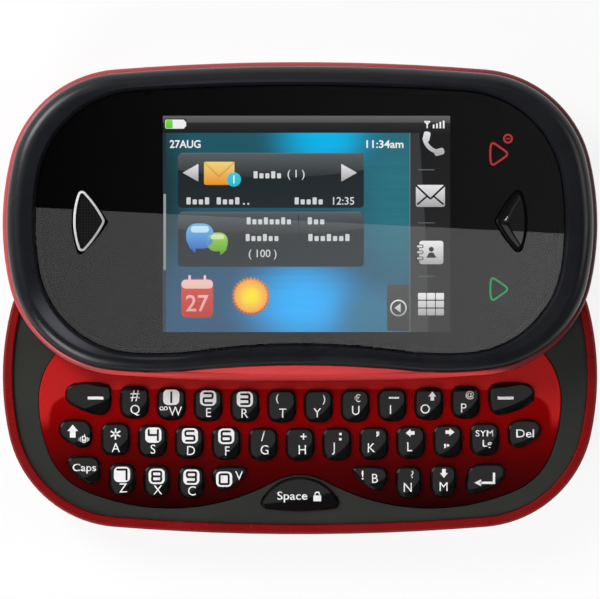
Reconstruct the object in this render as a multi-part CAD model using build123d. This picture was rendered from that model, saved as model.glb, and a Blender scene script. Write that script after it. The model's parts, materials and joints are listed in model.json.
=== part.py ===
from build123d import *
import os
from math import atan2, cos, degrees, hypot, radians, sin, sqrt

# A side-slider phone with a letter keyboard, in millimetres.
# It lies on its back: +X along its length, +Y towards the edge that the upper half slides to, +Z up.
# The origin is on the back face, below the middle of the base. The upper half is modelled slid open.

# Body outline, shared by both halves
body_half_width = 50.75
body_top = 27.6
body_bottom = 27.0
body_corner = 20.0
body_long_radius = 400.0
body_side_radius = 47.5

# Slide
slide_travel = 26.0
slide_gap = 0.4

# Base
base_wall = 1.65
base_lip = 0.6
base_belly_radius = 3.0
base_rim_edge = 0.35
base_lip_edge = 0.2
base_cavity_edge = 1.2
tray_thickness = 0.8
tray_ledge_depth = 0.6
tray_ledge_width = 0.6
tray_ledge_foot = 1.0

# Battery and its cover
cover_thickness = 1.0
cover_length = 66.0
cover_width = 42.0
cover_corner = 4.0
cover_ledge = 0.8
cover_edge = 0.25
grip_length = 14.0
grip_width = 4.0
grip_depth = 0.4
grip_y = -16.0
battery_length = 54.0
battery_width = 36.0
battery_thickness = 3.5
battery_corner = 1.5
battery_wall = 1.0
battery_room = 0.5
battery_headroom = 0.25

# Boards and key mat
board_thickness = 0.8
board_margin = 1.75
can_height = 1.3
connector_height = 0.8
holder_rise = 6.0
motor_rise = 4.3
mat_web = 0.2
mat_margin = 1.6
mat_end = 0.5
mat_pad_size = 3.0
mat_pad_height = 0.3

# Keypad plate: its outline is set about its own middle line
plate_middle = -4.1
plate_margin = 6.15
plate_half_width = body_half_width - plate_margin
plate_top = 13.2
plate_bottom = 18.45
plate_corner = 11.5
plate_side_radius = 25.0
plate_lobe_x = plate_half_width - 22.4
plate_lobe_radius = 37.0
plate_hump = 5.7
plate_end = 5.0
plate_edge = 0.2

# Keys
key_proud = 0.7
key_travel = 0.4
key_tab = 0.45
key_tab_length = 2.0
key_tab_height = 0.5
key_edge = 0.3
key_gap = 0.15
key_step = 0.2
soft_pad_shift = 1.25
soft_pad_corner = 1.2
letter_width = 4.75
letter_height = 5.4
narrow_width = 4.25
narrow_height = 5.25
letter_corner_top = 1.35
letter_corner_bottom = 1.75
letter_side_radius = 24.0
letter_bulge = 0.03
row_sag_radius = 580.0
row_heights = (-5.13, -11.62, -18.39)
top_pitch = 6.28
middle_pitch = 6.30
low_start = plate_lobe_x - 3.65
low_pitch = 5.92
inner_key_x = plate_lobe_x - 10.2
soft_key_x = plate_half_width - 8.5
shift_key_x = plate_half_width - 6.3
caps_key_x = plate_half_width - 7.7
enter_key_x = plate_half_width - 13.0

# Upper half
rim_edge = 1.0
rim_foot_edge = 0.3
rim_wall = 1.3
rim_floor = 0.6
bezel_inset = 0.7
bezel_shoulder = 2.2
bezel_slope = 0.9
bezel_rebate = 1.4
bezel_ledge = 1.0
bezel_lobe_x = 24.7
bezel_lobe_radius = 60.0
bezel_dip = 1.2
bezel_reach = body_bottom - 1.6
upper_board_inset = 3.2
upper_board_thickness = 0.6
upper_board_gap = 0.3

# Front window
window_half_width = body_half_width - 5.55
window_top = body_top - 4.0
window_bottom = body_bottom - 4.8
window_dip = 1.7
window_corner = 17.5
window_thickness = 0.8
window_drop = 0.6
window_edge = 0.15

# Display
display_x = 1.1
display_y = (window_top - window_bottom) / 2 - 0.7
display_length = 53.0
display_width = 38.4
display_glass = 1.6
display_thickness = 2.3
display_step = 0.7
display_gap = 0.15

# Earpiece and select key, set symmetrically in the window
ear_x = window_half_width - 9.2
ear_y = display_y + 0.45
ear_tip = 4.4
ear_wall = 0.4
ear_mesh_thickness = 0.4
trim_proud = 0.1
trim_edge = 0.12
nav_travel = 0.3
nav_proud = 0.25
nav_edge = 0.45
nav_depth = 0.7
nav_flange = 0.7
nav_flange_thickness = 0.5
dome_radius = 1.6
receiver_margin = 0.4

# Slide mechanism
slide_plate_half = 30.0
slide_plate_high = body_top - 3.3
slide_plate_thickness = 0.6
slide_plate_lift = 0.2
slide_room = 0.9
guide_low = plate_end + 2.6
slide_plate_low = guide_low - slide_travel - 1.0
guide_high = body_top - 4.0
guide_half = slide_plate_half + 2.0
guide_thickness = 0.5
shoe_width = 3.2
shoe_lip = 0.6
shoe_gap = 0.15
post_x = 7.6
post_y = guide_high - 8.1
post_radius = 0.7
hook_x = 24.0
hook_y = post_y - slide_travel / 2
opening_margin = 1.0
recess_margin = 0.6
recess_end = 0.2
rest_width = 52.0
rest_low = 2.2
rest_high = 3.3
spring_wire = 0.45
spring_eye = 1.0
spring_arm = 14.0
spring_kick = 2.6
room_gap = 0.2

# Ribbon cable through the slide
ribbon_width = 10.0
ribbon_thickness = 0.15
ribbon_bend = 0.45
ribbon_gap = 0.5
ribbon_base_y = plate_end + 1.4
ribbon_slider_y = slide_plate_low + 3.4
ribbon_fold_y = slide_plate_high - 0.2

# Sockets and modules
jack_y = 9.0
jack_bore = 1.8
jack_depth = 10.0
jack_end_room = 0.5
jack_length = 12.2
jack_width = 6.2
jack_height = 2 * jack_bore + 0.9
jack_nose = jack_bore + 0.8
jack_nose_length = base_wall + 1.75
jack_mouth_x = 1.35 - body_half_width
usb_y = -2.0
usb_width = 7.6
usb_height = 2.8
usb_depth = 5.6
usb_wall = 0.35
usb_cut = 0.9
usb_mouth_x = body_half_width - 0.55
usb_back = 0.6
usb_tongue = 0.6
usb_tongue_width = 4.6
usb_tongue_rise = 0.3
camera_x = body_half_width - 10.75
camera_y = 11.5
camera_size = 8.5
camera_lens = 3.2
camera_sink = 0.3
speaker_x = 11.75 - body_half_width
speaker_y = -5.0
speaker_radius = 6.2
speaker_depth = 2.7
slot_count = 5
slot_pitch = 2.0
slot_width = 0.9

# Volume rocker
volume_x = -22.0
volume_z = 4.4
volume_length = 13.6
volume_height = 2.8
volume_proud = 0.45
volume_depth = base_wall + 0.9
volume_flange = 0.7
volume_edge = 0.6
volume_gap = 0.3
volume_swing = 0.48

# Screws
screw_upper_angle = 61.0
screw_lower_angle = -63.0
screw_head = 1.4
screw_inset = base_belly_radius + screw_head + 0.25
screw_head_height = 0.65
screw_shaft = 0.8
screw_recess = 1.0
screw_room = 0.2
boss_radius = 1.9
tray_boss_radius = 1.5

# Clearances, and how far a cut runs past what it cuts
fit_gap = 0.05
loose_gap = 0.1
shaft_gap = 0.03
over = 1.0

# Heights above the back face that follow from the sizes above: the base, from the back up
floor_top = cover_thickness + fit_gap + cover_ledge
battery_bottom = cover_thickness + fit_gap + loose_gap
board_bottom = battery_bottom + battery_thickness + battery_headroom
board_top = board_bottom + board_thickness
key_bottom = board_top + mat_web + mat_pad_height + key_travel + fit_gap
tray_bottom = key_bottom + key_tab_height + fit_gap
tray_top = tray_bottom + tray_thickness
base_height = tray_top + base_lip
key_top = tray_top + key_proud
guide_top = tray_top + guide_thickness
jack_z = floor_top + fit_gap + jack_height / 2
usb_z = board_bottom - loose_gap - usb_height / 2

# The slide and the upper half
slider_bottom = base_height + slide_gap
slide_plate_bottom = slider_bottom + slide_plate_lift
slide_plate_top = slide_plate_bottom + slide_plate_thickness
recess_ceiling = slide_plate_top + slide_room
shoe_top = slide_plate_top + shoe_lip
post_top = recess_ceiling - room_gap
ribbon_low = guide_top + ribbon_thickness
ribbon_high = recess_ceiling - room_gap
upper_floor = recess_ceiling + rim_floor
upper_board_z = upper_floor + upper_board_gap
rim_top = upper_board_z + upper_board_thickness
display_bottom = rim_top + display_gap
window_z = display_bottom + display_thickness + display_gap
window_face = window_z + window_thickness
bezel_top = window_face + window_drop


# --- Outlines made of tangent arcs -------------------------------------------------------------


def meet(a, reach_a, b, reach_b, left):
    """The point reach_a from a and reach_b from b, on the left or right of the way from a to b."""
    span = hypot(b[0] - a[0], b[1] - a[1])
    along = (reach_a**2 - reach_b**2 + span**2) / (2 * span)
    across = sqrt(reach_a**2 - along**2) * (1 if left else -1)
    ux, uy = (b[0] - a[0]) / span, (b[1] - a[1]) / span
    return (a[0] + along * ux - across * uy, a[1] + along * uy + across * ux)


def ring(circles, grow=0.0):
    """A face inside a closed run of circles that touch in turn, anticlockwise.
    A circle is (centre, radius), and a negative radius curves inwards. grow moves the edge out."""
    sized = [(Vector(*centre), radius + grow) for centre, radius in circles]
    following = sized[1:] + sized[:1]
    touches = [(b * ra - a * rb) / (ra - rb) for (a, ra), (b, rb) in zip(sized, following)]
    edges = []
    for i, (centre, radius) in enumerate(sized):
        chord_middle = (touches[i - 1] + touches[i]) / 2
        crown = centre + (chord_middle - centre).normalized() * abs(radius)
        edges.append(Edge.make_three_point_arc(touches[i - 1], crown, touches[i]))
    return Face(Wire(edges))


def oval(half_width, top, bottom, corner, long_radius, side_radius, lobe=None):
    """The circles of a rounded oval. lobe = (x, radius, rise) waves its lower edge upwards by rise."""
    side = (half_width - side_radius, 0)
    crest = (0, top - long_radius)
    upper = meet(side, side_radius - corner, crest, long_radius - corner, True)
    right = [(side, side_radius), (upper, corner)]
    if lobe is None:
        belly = (0, long_radius - bottom)
        lower = meet(side, side_radius - corner, belly, long_radius - corner, False)
        low_middle = [(belly, long_radius)]
    else:
        x, radius, rise = lobe
        belly = (x, radius - bottom)
        lower = meet(side, side_radius - corner, belly, radius - corner, False)
        hump = (x**2 + rise**2) / (2 * rise) - radius
        low_middle = [((-x, belly[1]), radius), ((0, rise - bottom - hump), -hump), (belly, radius)]
    left = [((-c[0], c[1]), r) for c, r in reversed(right)]
    return (
        right
        + [(crest, long_radius)]
        + left
        + [((-lower[0], lower[1]), corner)]
        + low_middle
        + [(lower, corner)]
    )


def leaf(discs, sides):
    """The circles of a leaf shape: corner discs (x, y, radius), anticlockwise, joined by bulging sides."""
    circles = []
    for (x, y, radius), (bx, by, next_radius), side in zip(discs, discs[1:] + discs[:1], sides):
        centre = meet((x, y), side - radius, (bx, by), side - next_radius, True)
        circles += [((x, y), radius), (centre, side)]
    return circles


def moved(circles, x, y):
    return [((centre[0] + x, centre[1] + y), radius) for centre, radius in circles]


def mirrored(circles):
    return [((-centre[0], centre[1]), radius) for centre, radius in reversed(circles)]


def slab(face, low, high):
    return Pos(0, 0, low) * extrude(face, amount=high - low, dir=(0, 0, 1))


def block(x, y, low, high, length, width, corner=0.0):
    """A box standing on z = low about (x, y), with its upright edges rounded by corner."""
    solid = Pos(x, y, (low + high) / 2) * Box(length, width, high - low)
    return fillet(solid.edges().filter_by(Axis.Z), corner) if corner else solid


def post(x, y, low, high, radius):
    return Pos(x, y, (low + high) / 2) * Cylinder(radius, high - low)


def below_line(face_solid, y):
    """What is left of a solid on the low side of a line across the phone."""
    return face_solid - block(0, y + body_top, 0, bezel_top, 4 * body_half_width, 2 * body_top)


body = oval(
    body_half_width, body_top, body_bottom, body_corner, body_long_radius, body_side_radius
)
plate = moved(
    oval(
        plate_half_width,
        plate_top,
        plate_bottom,
        plate_corner,
        body_long_radius,
        plate_side_radius,
        (plate_lobe_x, plate_lobe_radius, plate_hump),
    ),
    0,
    plate_middle,
)
bezel = oval(
    body_half_width - bezel_inset,
    body_top - bezel_inset,
    bezel_reach,
    body_corner - bezel_inset,
    body_long_radius,
    body_side_radius,
    (bezel_lobe_x, bezel_lobe_radius, bezel_dip),
)
window = oval(
    window_half_width,
    window_top,
    window_bottom,
    window_corner,
    body_long_radius,
    body_side_radius,
    (bezel_lobe_x, bezel_lobe_radius, window_dip),
)
earpiece = leaf(
    [(1.7, 0.0, 1.0), (-1.15, ear_tip, 0.75), (-1.15, -ear_tip, 0.75)],
    [20.0, 14.0, 20.0],
)
ear_left = moved(earpiece, -ear_x, ear_y)
ear_right = moved(mirrored(earpiece), ear_x, ear_y)


# --- Key layout --------------------------------------------------------------------------------


def letter(width, height):
    """A letter key: an upright rounded shape, a little narrower at its foot."""
    top_x = width / 2 - letter_corner_top - letter_bulge
    foot_x = width / 2 - letter_corner_bottom - letter_bulge
    top_y = height / 2 - letter_corner_top - letter_bulge
    foot_y = height / 2 - letter_corner_bottom - letter_bulge
    discs = [
        (top_x, top_y, letter_corner_top),
        (-top_x, top_y, letter_corner_top),
        (-foot_x, -foot_y, letter_corner_bottom),
        (foot_x, -foot_y, letter_corner_bottom),
    ]
    return leaf(discs, [letter_side_radius] * 4)


soft_shape = leaf(
    [(2.35, 1.1, 1.5), (-2.0, 0.75, 1.85), (1.95, -0.9, 1.75)],
    [16.0, 14.0, 9.0],
)
shift_shape = leaf(
    [(0.9, 0.45, 1.8), (-1.15, 0.65, 1.6), (1.2, -0.8, 1.5)],
    [9.0, 6.5, 9.0],
)
caps_shape = leaf(
    [(1.25, 0.75, 1.45), (-1.75, 1.25, 0.95), (1.35, -0.95, 1.35)],
    [11.0, 7.5, 9.0],
)
leaf_shape = leaf(
    [(2.25, 1.3, 0.6), (-1.45, 0.45, 1.45), (-1.15, -0.55, 1.4)],
    [13.0, 8.0, 9.0],
)
enter_shape = leaf(
    [(1.95, 1.05, 1.4), (-0.9, 0.35, 2.05), (-2.0, -1.2, 1.3)],
    [13.0, 9.0, 9.0],
)
space_shape = leaf(
    [(5.6, -1.35, 0.95), (-5.6, -1.35, 0.95)],
    [7.4, 40.0],
)
letter_shape = letter(letter_width, letter_height)
narrow_shape = letter(narrow_width, narrow_height)


def sag(row, x):
    """Height of a key's middle in a row that dips towards the phone's middle."""
    return row_heights[row] + x**2 / (2 * row_sag_radius)


# Each key: name -> (x, y, outline about its middle, width of the cap, height of its tabs' middle)
keys = {}


def add_key(name, x, y, shape, width, tab_y=0.6):
    keys[name] = (x, y, shape, width, tab_y)


add_key("soft_left", -soft_key_x, -3.9, soft_shape, 7.8)
for place, name in enumerate("qwertyuiop"):
    x = (place - 4.5) * top_pitch
    add_key(name, x, sag(0, x), letter_shape, letter_width)
add_key("soft_right", soft_key_x, -3.9, mirrored(soft_shape), 7.8)
add_key("shift", -shift_key_x, -9.8, shift_shape, 5.6)
for place, name in enumerate([*"asdfghjkl", "comma", "symbol"]):
    x = (place - 5) * middle_pitch
    add_key(name, x, sag(1, x), letter_shape, letter_width)
add_key("delete", shift_key_x, -9.8, mirrored(shift_shape), 5.6)
add_key("caps", -caps_key_x, -16.0, caps_shape, 5.5)
for place, name in enumerate("zxc"):
    x = -low_start - (2 - place) * low_pitch
    add_key(name, x, sag(2, x), narrow_shape, narrow_width)
add_key("v", -inner_key_x, -17.45, leaf_shape, 5.9)
add_key("space", 0.0, -20.2, space_shape, 13.2, -1.2)
add_key("b", inner_key_x, -17.45, mirrored(leaf_shape), 5.9)
for place, name in enumerate("nm"):
    x = low_start + place * low_pitch
    add_key(name, x, sag(2, x), narrow_shape, narrow_width)
add_key("enter", enter_key_x, -17.5, enter_shape, 6.9)


# --- Base --------------------------------------------------------------------------------------


def battery_cover():
    cover = block(0, 0, 0, cover_thickness, cover_length, cover_width, cover_corner)
    cover = chamfer(cover.edges().group_by(Axis.Z)[0], cover_edge)
    return cover - block(0, grip_y, -over, grip_depth, grip_length, grip_width, grip_width / 2.1)


def battery():
    battery_top = battery_bottom + battery_thickness
    pack = block(0, 0, battery_bottom, battery_top, battery_length, battery_width)
    return fillet(pack.edges().filter_by(Axis.X), battery_corner)


def screw_places():
    """Beside the body's four corners, in from the edge along a corner arc's radius."""
    places = []
    for (centre, radius), angle in ((body[1], screw_upper_angle), (body[-1], screw_lower_angle)):
        x = centre[0] + (radius - screw_inset) * cos(radians(angle))
        y = centre[1] + (radius - screw_inset) * sin(radians(angle))
        places += [(-x, y), (x, y)]
    return places


def base_shell():
    shell = slab(ring(body), 0, base_height)
    shell = fillet(shell.edges().group_by(Axis.Z)[0], base_belly_radius)
    shell = chamfer(shell.edges().group_by(Axis.Z)[-1], base_rim_edge)
    cavity = slab(ring(body, -base_wall), floor_top, base_height)
    cavity = chamfer(cavity.edges().group_by(Axis.Z)[0], base_cavity_edge)
    shell -= cavity
    mouth = slab(ring(body, base_lip_edge - base_wall), base_height - base_lip_edge, base_height + over)
    shell -= chamfer(mouth.edges().group_by(Axis.Z)[0], base_lip_edge - shaft_gap)
    ledge_low = tray_bottom - tray_ledge_depth
    ledge = slab(ring(body, -base_wall), ledge_low, tray_bottom)
    ledge -= slab(ring(body, -base_wall - tray_ledge_width), ledge_low, tray_bottom)
    shell += ledge
    # Battery well: a wall round the battery up to the board
    well_length = battery_length + 2 * battery_room
    well_width = battery_width + 2 * battery_room
    shell += block(
        0, 0, cover_thickness, board_bottom,
        well_length + 2 * battery_wall, well_width + 2 * battery_wall,
    )
    shell -= block(0, 0, -over, board_bottom + over, well_length, well_width)
    shell -= block(
        0, 0, -over, cover_thickness + fit_gap,
        cover_length + 2 * loose_gap, cover_width + 2 * loose_gap, cover_corner + loose_gap,
    )
    for x, y in screw_places():
        shell += post(x, y, floor_top, board_bottom, boss_radius)
        shell -= post(x, y, -over, screw_recess, screw_head + loose_gap)
        shell -= post(x, y, 0, board_bottom + over, screw_shaft + loose_gap)
    # Openings: jack, data socket, camera, loudspeaker slots and volume rocker
    reach = 2 * (base_wall + board_margin + over)
    shell -= Pos(jack_mouth_x, jack_y, jack_z) * Rot(0, 90, 0) * Cylinder(jack_nose + loose_gap, reach)
    shell -= (
        Pos(usb_mouth_x, usb_y, usb_z)
        * Box(reach, usb_width + 2 * loose_gap, usb_height + 2 * loose_gap)
    )
    shell -= post(camera_x, camera_y, -over, floor_top + over, camera_lens + loose_gap)
    for place in range(slot_count):
        offset = (place - (slot_count - 1) / 2) * slot_pitch
        length = 2 * sqrt((speaker_radius - slot_width) ** 2 - offset**2)
        shell -= block(
            speaker_x + offset, speaker_y, -over, floor_top + over, slot_width, length, slot_width / 2.05
        )
    slit = volume_height / 2 + volume_gap
    shell -= block(
        volume_x, body_top, volume_z - slit, volume_z + slit, volume_length + 2 * volume_gap,
        2 * (volume_depth + volume_gap),
    )
    return shell


def volume_band(outer, inner, low, high, length):
    """A stretch of the body's edge between two offsets, as long as the rocker."""
    band = slab(ring(body, outer), low, high) - slab(ring(body, inner), low, high)
    return band & block(volume_x, body_top, low, high, length, 4 * volume_depth)


def volume_key():
    half = volume_height / 2
    key = volume_band(volume_proud, -volume_depth, volume_z - half, volume_z + half, volume_length)
    crest = key.edges().filter_by(Axis.Z).sort_by(Axis.Y)[-2:]
    key = chamfer(crest, volume_edge)
    flange_out = -base_wall - volume_swing
    key += volume_band(
        flange_out, -volume_depth, volume_z - half + loose_gap, volume_z + half,
        volume_length + 2 * volume_flange,
    )
    return key


def keypad_tray():
    tray = slab(ring(body, -base_wall - loose_gap), tray_bottom, tray_top)
    tray -= below_line(slab(ring(plate, loose_gap), tray_bottom - over, tray_top), plate_end + loose_gap)
    ledge_low = tray_bottom - tray_ledge_depth
    ledge = below_line(slab(ring(plate, tray_ledge_foot), ledge_low, tray_bottom), plate_end + 0.8)
    ledge -= below_line(
        slab(ring(plate, -tray_ledge_width), ledge_low, tray_bottom), plate_end - tray_ledge_width
    )
    x, y, shape = keys["space"][:3]
    ledge -= slab(ring(moved(shape, x, y), 2 * key_tab), ledge_low - over, tray_bottom)
    ledge &= slab(ring(body, -base_wall - tray_ledge_width - loose_gap), ledge_low, tray_bottom)
    tray += ledge
    tray -= slab(ring(moved(shape, x, y), key_gap), tray_bottom - over, tray_top)
    tray -= block(0, ribbon_base_y, tray_bottom - over, tray_top, ribbon_width + 2 * ribbon_gap, 2 * ribbon_gap)
    for x, y in screw_places():
        tray += post(x, y, board_top + fit_gap, tray_bottom, tray_boss_radius)
        tray -= post(x, y, board_top - over, tray_bottom, screw_shaft + shaft_gap)
    return tray


def keypad_plate():
    sheet = below_line(slab(ring(plate), tray_bottom, tray_top), plate_end)
    sheet = chamfer(sheet.edges().group_by(Axis.Z)[-1], plate_edge)
    for name, (x, y, shape, *_) in keys.items():
        if name != "space":
            sheet -= slab(ring(moved(shape, x, y), key_gap), tray_bottom, tray_top)
    return sheet


def key_cap(name):
    """One key: a bevelled cap, and a pair of tabs below the plate that keep it from lifting out."""
    x, y, shape, width, tab_y = keys[name]
    outline = moved(shape, x, y)
    soft = name.startswith("soft")
    top = key_top - key_step if soft else key_top
    cap = slab(ring(outline), key_bottom, top)
    cap = chamfer(cap.edges().group_by(Axis.Z)[-1], key_edge)
    if soft:
        pad_x = x + (soft_pad_shift if x < 0 else -soft_pad_shift)
        pad = slab(ring(outline, -key_edge), top, key_top)
        pad &= block(pad_x, y, top, key_top, letter_width, letter_height, soft_pad_corner)
        cap += pad
    tab_top = key_bottom + key_tab_height
    cap += block(x, y + tab_y, key_bottom, tab_top, width + 2 * key_tab, key_tab_length)
    return cap


def key_mat():
    """Silicone web on the board, with a pad below each key."""
    low, web_top = board_top, board_top + mat_web
    mat = below_line(slab(ring(plate, -mat_margin), low, web_top), mat_end)
    mat += block(0, -19.5, low, web_top, 18, 7.2)
    for x, y, *_ in keys.values():
        mat += block(x, y, low, web_top + mat_pad_height, mat_pad_size, mat_pad_size)
    return mat


def main_board():
    board = slab(ring(body, -base_wall - board_margin), board_bottom, board_top)
    jack_back = jack_mouth_x + jack_length
    board -= block(
        jack_back - body_half_width, jack_y, board_bottom, board_top,
        2 * (body_half_width + loose_gap), jack_width + 2 * loose_gap,
    )
    for x, y in screw_places():
        board -= post(x, y, board_bottom, board_top, screw_shaft + 1.5 * loose_gap)
    parts = [board]
    # Shield cans and the ribbon's connector on top
    parts.append(block(-19, 15, board_top, board_top + can_height, 22, 12, 0.8))
    parts.append(block(14, 15.5, board_top, board_top + can_height, 18, 11, 0.8))
    parts.append(
        block(0, ribbon_base_y, board_top, board_top + connector_height, ribbon_width + 1.4, 2.2)
    )
    # Memory card holder and vibration motor below, clear of the lower screws, and the microphone
    lower_screw_y = screw_places()[-1][1]
    holder_y = lower_screw_y + holder_rise
    motor_y = lower_screw_y + motor_rise
    parts.append(block(body_half_width - 14.25, holder_y, board_bottom - 1.4, board_bottom, 11, 8))
    parts.append(block(12.25 - body_half_width, motor_y, board_bottom - 2.6, board_bottom, 7, 3.2, 0.6))
    parts.append(post(20, -21.8, board_bottom - 1.2, board_bottom, 1.9))
    return parts


def headset_jack():
    body_length = jack_length - jack_nose_length
    body_x = jack_mouth_x + jack_nose_length + body_length / 2
    housing = Pos(body_x, jack_y, jack_z) * Box(body_length, jack_width, jack_height)
    nose_x = jack_mouth_x + (jack_nose_length + fit_gap) / 2
    nose = (
        Pos(nose_x, jack_y, jack_z)
        * Rot(0, 90, 0)
        * Cylinder(jack_nose - loose_gap, jack_nose_length + fit_gap)
    )
    bore_depth = jack_depth + jack_end_room
    bore = (
        Pos(jack_mouth_x + bore_depth / 2, jack_y, jack_z)
        * Rot(0, 90, 0)
        * Cylinder(jack_bore, bore_depth)
    )
    return housing + nose - bore


def usb_socket():
    """Pressed steel shell with narrower foot, and the contact tongue inside."""
    def mouth(width, height, cut):
        half, rise = width / 2, height / 2
        outline = Polyline(
            (-half, rise), (half, rise), (half, -rise + cut), (half - cut, -rise),
            (-half + cut, -rise), (-half, -rise + cut), close=True,
        )
        return make_face(outline)
    outer = mouth(usb_width, usb_height, usb_cut)
    inner = mouth(usb_width - 2 * usb_wall, usb_height - 2 * usb_wall, usb_cut - 0.15)
    place = Plane(origin=(usb_mouth_x, usb_y, usb_z), x_dir=(0, 1, 0), z_dir=(1, 0, 0))
    shell = place * extrude(outer, amount=-usb_depth)
    shell -= place * extrude(inner, amount=-usb_depth + usb_back)
    tongue_length = usb_depth - usb_back - usb_wall
    tongue_x = usb_mouth_x - usb_depth + usb_back + tongue_length / 2
    tongue = Box(tongue_length, usb_tongue_width, usb_tongue)
    tongue = Pos(tongue_x, usb_y, usb_z + usb_tongue_rise) * tongue
    return shell + tongue


def camera_module():
    low = floor_top + fit_gap
    module = block(camera_x, camera_y, low, board_bottom - loose_gap, camera_size, camera_size, 0.5)
    barrel = post(camera_x, camera_y, camera_sink, low, camera_lens)
    barrel = chamfer(barrel.edges().group_by(Axis.Z)[0], 0.2)
    cone = Pos(camera_x, camera_y, camera_sink + 0.3) * Cone(1.9, 1.2, 0.6)
    return module + barrel - cone


def loudspeaker():
    low = floor_top + fit_gap
    drum = post(speaker_x, speaker_y, low, low + speaker_depth, speaker_radius)
    return chamfer(drum.edges().group_by(Axis.Z)[-1], 0.5)


def casing_screws():
    """Pan-head screws, from the back through the shell and the board into the tray's bosses."""
    screws = []
    for x, y in screw_places():
        screw = post(x, y, screw_recess - screw_head_height, screw_recess, screw_head)
        screw += post(x, y, screw_recess, tray_bottom - screw_room, screw_shaft)
        screws.append(screw)
    return screws


# --- Slide mechanism ---------------------------------------------------------------------------


def slide_guide():
    """Steel plate on the tray, two grooved plastic shoes, and two posts that hold the springs' eyes."""
    middle = (guide_low + guide_high) / 2
    length = guide_high - guide_low
    sheet = block(0, middle, tray_top, guide_top, 2 * guide_half, length, 1.0)
    parts = []
    for side in (-1, 1):
        sheet += post(side * post_x, post_y, guide_top, post_top, post_radius)
        shoe_x = side * (guide_half - shoe_width / 2)
        shoe = block(shoe_x, middle, guide_top, shoe_top, shoe_width, length)
        shoe -= block(
            side * (slide_plate_half - shoe_width), middle,
            slide_plate_bottom - fit_gap, slide_plate_top + fit_gap,
            2 * (shoe_width + shoe_gap), length + over,
        )
        parts.append(shoe)
    return [sheet] + parts


def slide_plate():
    """Steel plate whose long edges run in the shoes. The ends of its opening stop on the guide's posts."""
    middle = (slide_plate_low + slide_plate_high) / 2
    length = slide_plate_high - slide_plate_low
    sheet = block(0, middle, slide_plate_bottom, slide_plate_top, 2 * slide_plate_half, length, 1.5)
    stop_gap = post_radius + loose_gap
    opening_low = post_y - slide_travel - stop_gap
    opening_high = post_y + stop_gap
    sheet -= block(
        0, (opening_low + opening_high) / 2, slide_plate_bottom, slide_plate_top,
        2 * (post_x + opening_margin), opening_high - opening_low, 0.8,
    )
    for side in (-1, 1):
        sheet += post(side * hook_x, hook_y, slide_plate_top, post_top, post_radius)
    return sheet


def slide_springs():
    """Two flat zigzag springs, each from a guide post to a hook on the slide plate: four small
    loops of one size, joined by straight arms that leave each loop on alternate sides."""
    height = (slide_plate_top + recess_ceiling) / 2 - fit_gap
    springs = []
    for side in (-1, 1):
        fixed = Vector(side * post_x, post_y)
        hook = Vector(side * hook_x, hook_y + slide_travel)
        along = (hook - fixed).normalized()
        across = Vector(-along.Y, along.X)
        bend = along * spring_arm + across * spring_kick
        loops = [fixed, fixed + bend, hook - bend, hook]
        ring_face = Circle(spring_eye + spring_wire / 2) - Circle(spring_eye - spring_wire / 2)
        wire = Sketch() + [Pos(loop.X, loop.Y, 0) * ring_face for loop in loops]
        flank = 1
        for start, end in zip(loops, loops[1:]):
            run = end - start
            normal = Vector(-run.Y, run.X).normalized()
            middle = (start + end) / 2 + normal * spring_eye * flank
            turn = degrees(atan2(run.Y, run.X))
            wire += Pos(middle.X, middle.Y, 0) * Rot(0, 0, turn) * Rectangle(run.length, spring_wire)
            flank = -flank
        springs.append(slab(wire, height - spring_wire / 2, height + spring_wire / 2))
    return springs


def flex_cable():
    """Ribbon from the main board, folded once in the gap of the slide, to the upper board."""
    slider_y = ribbon_slider_y + slide_travel
    path = FilletPolyline(
        (ribbon_base_y, board_top + connector_height),
        (ribbon_base_y, ribbon_low),
        (ribbon_fold_y, ribbon_low),
        (ribbon_fold_y, ribbon_high),
        (slider_y, ribbon_high),
        (slider_y, upper_board_z),
        radius=ribbon_bend,
    )
    profile = trace(path, line_width=ribbon_thickness)
    return Plane.YZ * extrude(profile, amount=ribbon_width / 2, both=True)


# --- Upper half, modelled shut, then slid open ---------------------------------------------------


def slider_rim():
    rim = slab(ring(body), slider_bottom, rim_top)
    rim = fillet(rim.edges().group_by(Axis.Z)[-1], rim_edge)
    rim = chamfer(rim.edges().group_by(Axis.Z)[0], rim_foot_edge)
    recess_low = slide_plate_low - recess_end
    recess_high = slide_plate_high + recess_end
    rim -= block(
        0, (recess_low + recess_high) / 2, slider_bottom - over, recess_ceiling,
        2 * (guide_half + recess_margin), recess_high - recess_low,
    )
    rim -= slab(ring(body, -rim_wall), upper_floor, rim_top)
    # The slide plate rests against a bar at each end of its recess
    rests = ((slide_plate_low, slide_plate_low + rest_low), (slide_plate_high - rest_high, slide_plate_high))
    for low, high in rests:
        rim += block(0, (low + high) / 2, slide_plate_top, recess_ceiling, rest_width, high - low)
    rim -= block(
        0, ribbon_slider_y, recess_ceiling - over, upper_floor,
        ribbon_width + 2 * ribbon_gap, 2 * ribbon_gap + ribbon_thickness,
    )
    return rim


def front_bezel():
    frame = slab(ring(bezel), rim_top, bezel_top)
    frame = fillet(frame.edges().group_by(Axis.Z)[-1], bezel_shoulder)
    opening = slab(ring(window, fit_gap), window_z, bezel_top)
    frame -= opening
    edge = frame.edges().group_by(Axis.Z)[-1]
    frame = chamfer(edge, window_drop - fit_gap, bezel_slope)
    frame -= slab(ring(window, -bezel_ledge), rim_top, window_z)
    frame -= slab(ring(bezel, -rim_wall), rim_top, rim_top + bezel_rebate)
    return frame


def front_window():
    glass = slab(ring(window), window_z, window_face)
    glass = chamfer(glass.edges().group_by(Axis.Z)[-1], window_edge)
    glass -= slab(ring(ear_left, fit_gap), window_z, bezel_top)
    glass -= slab(ring(ear_right, key_gap), window_z, bezel_top)
    return glass


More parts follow.
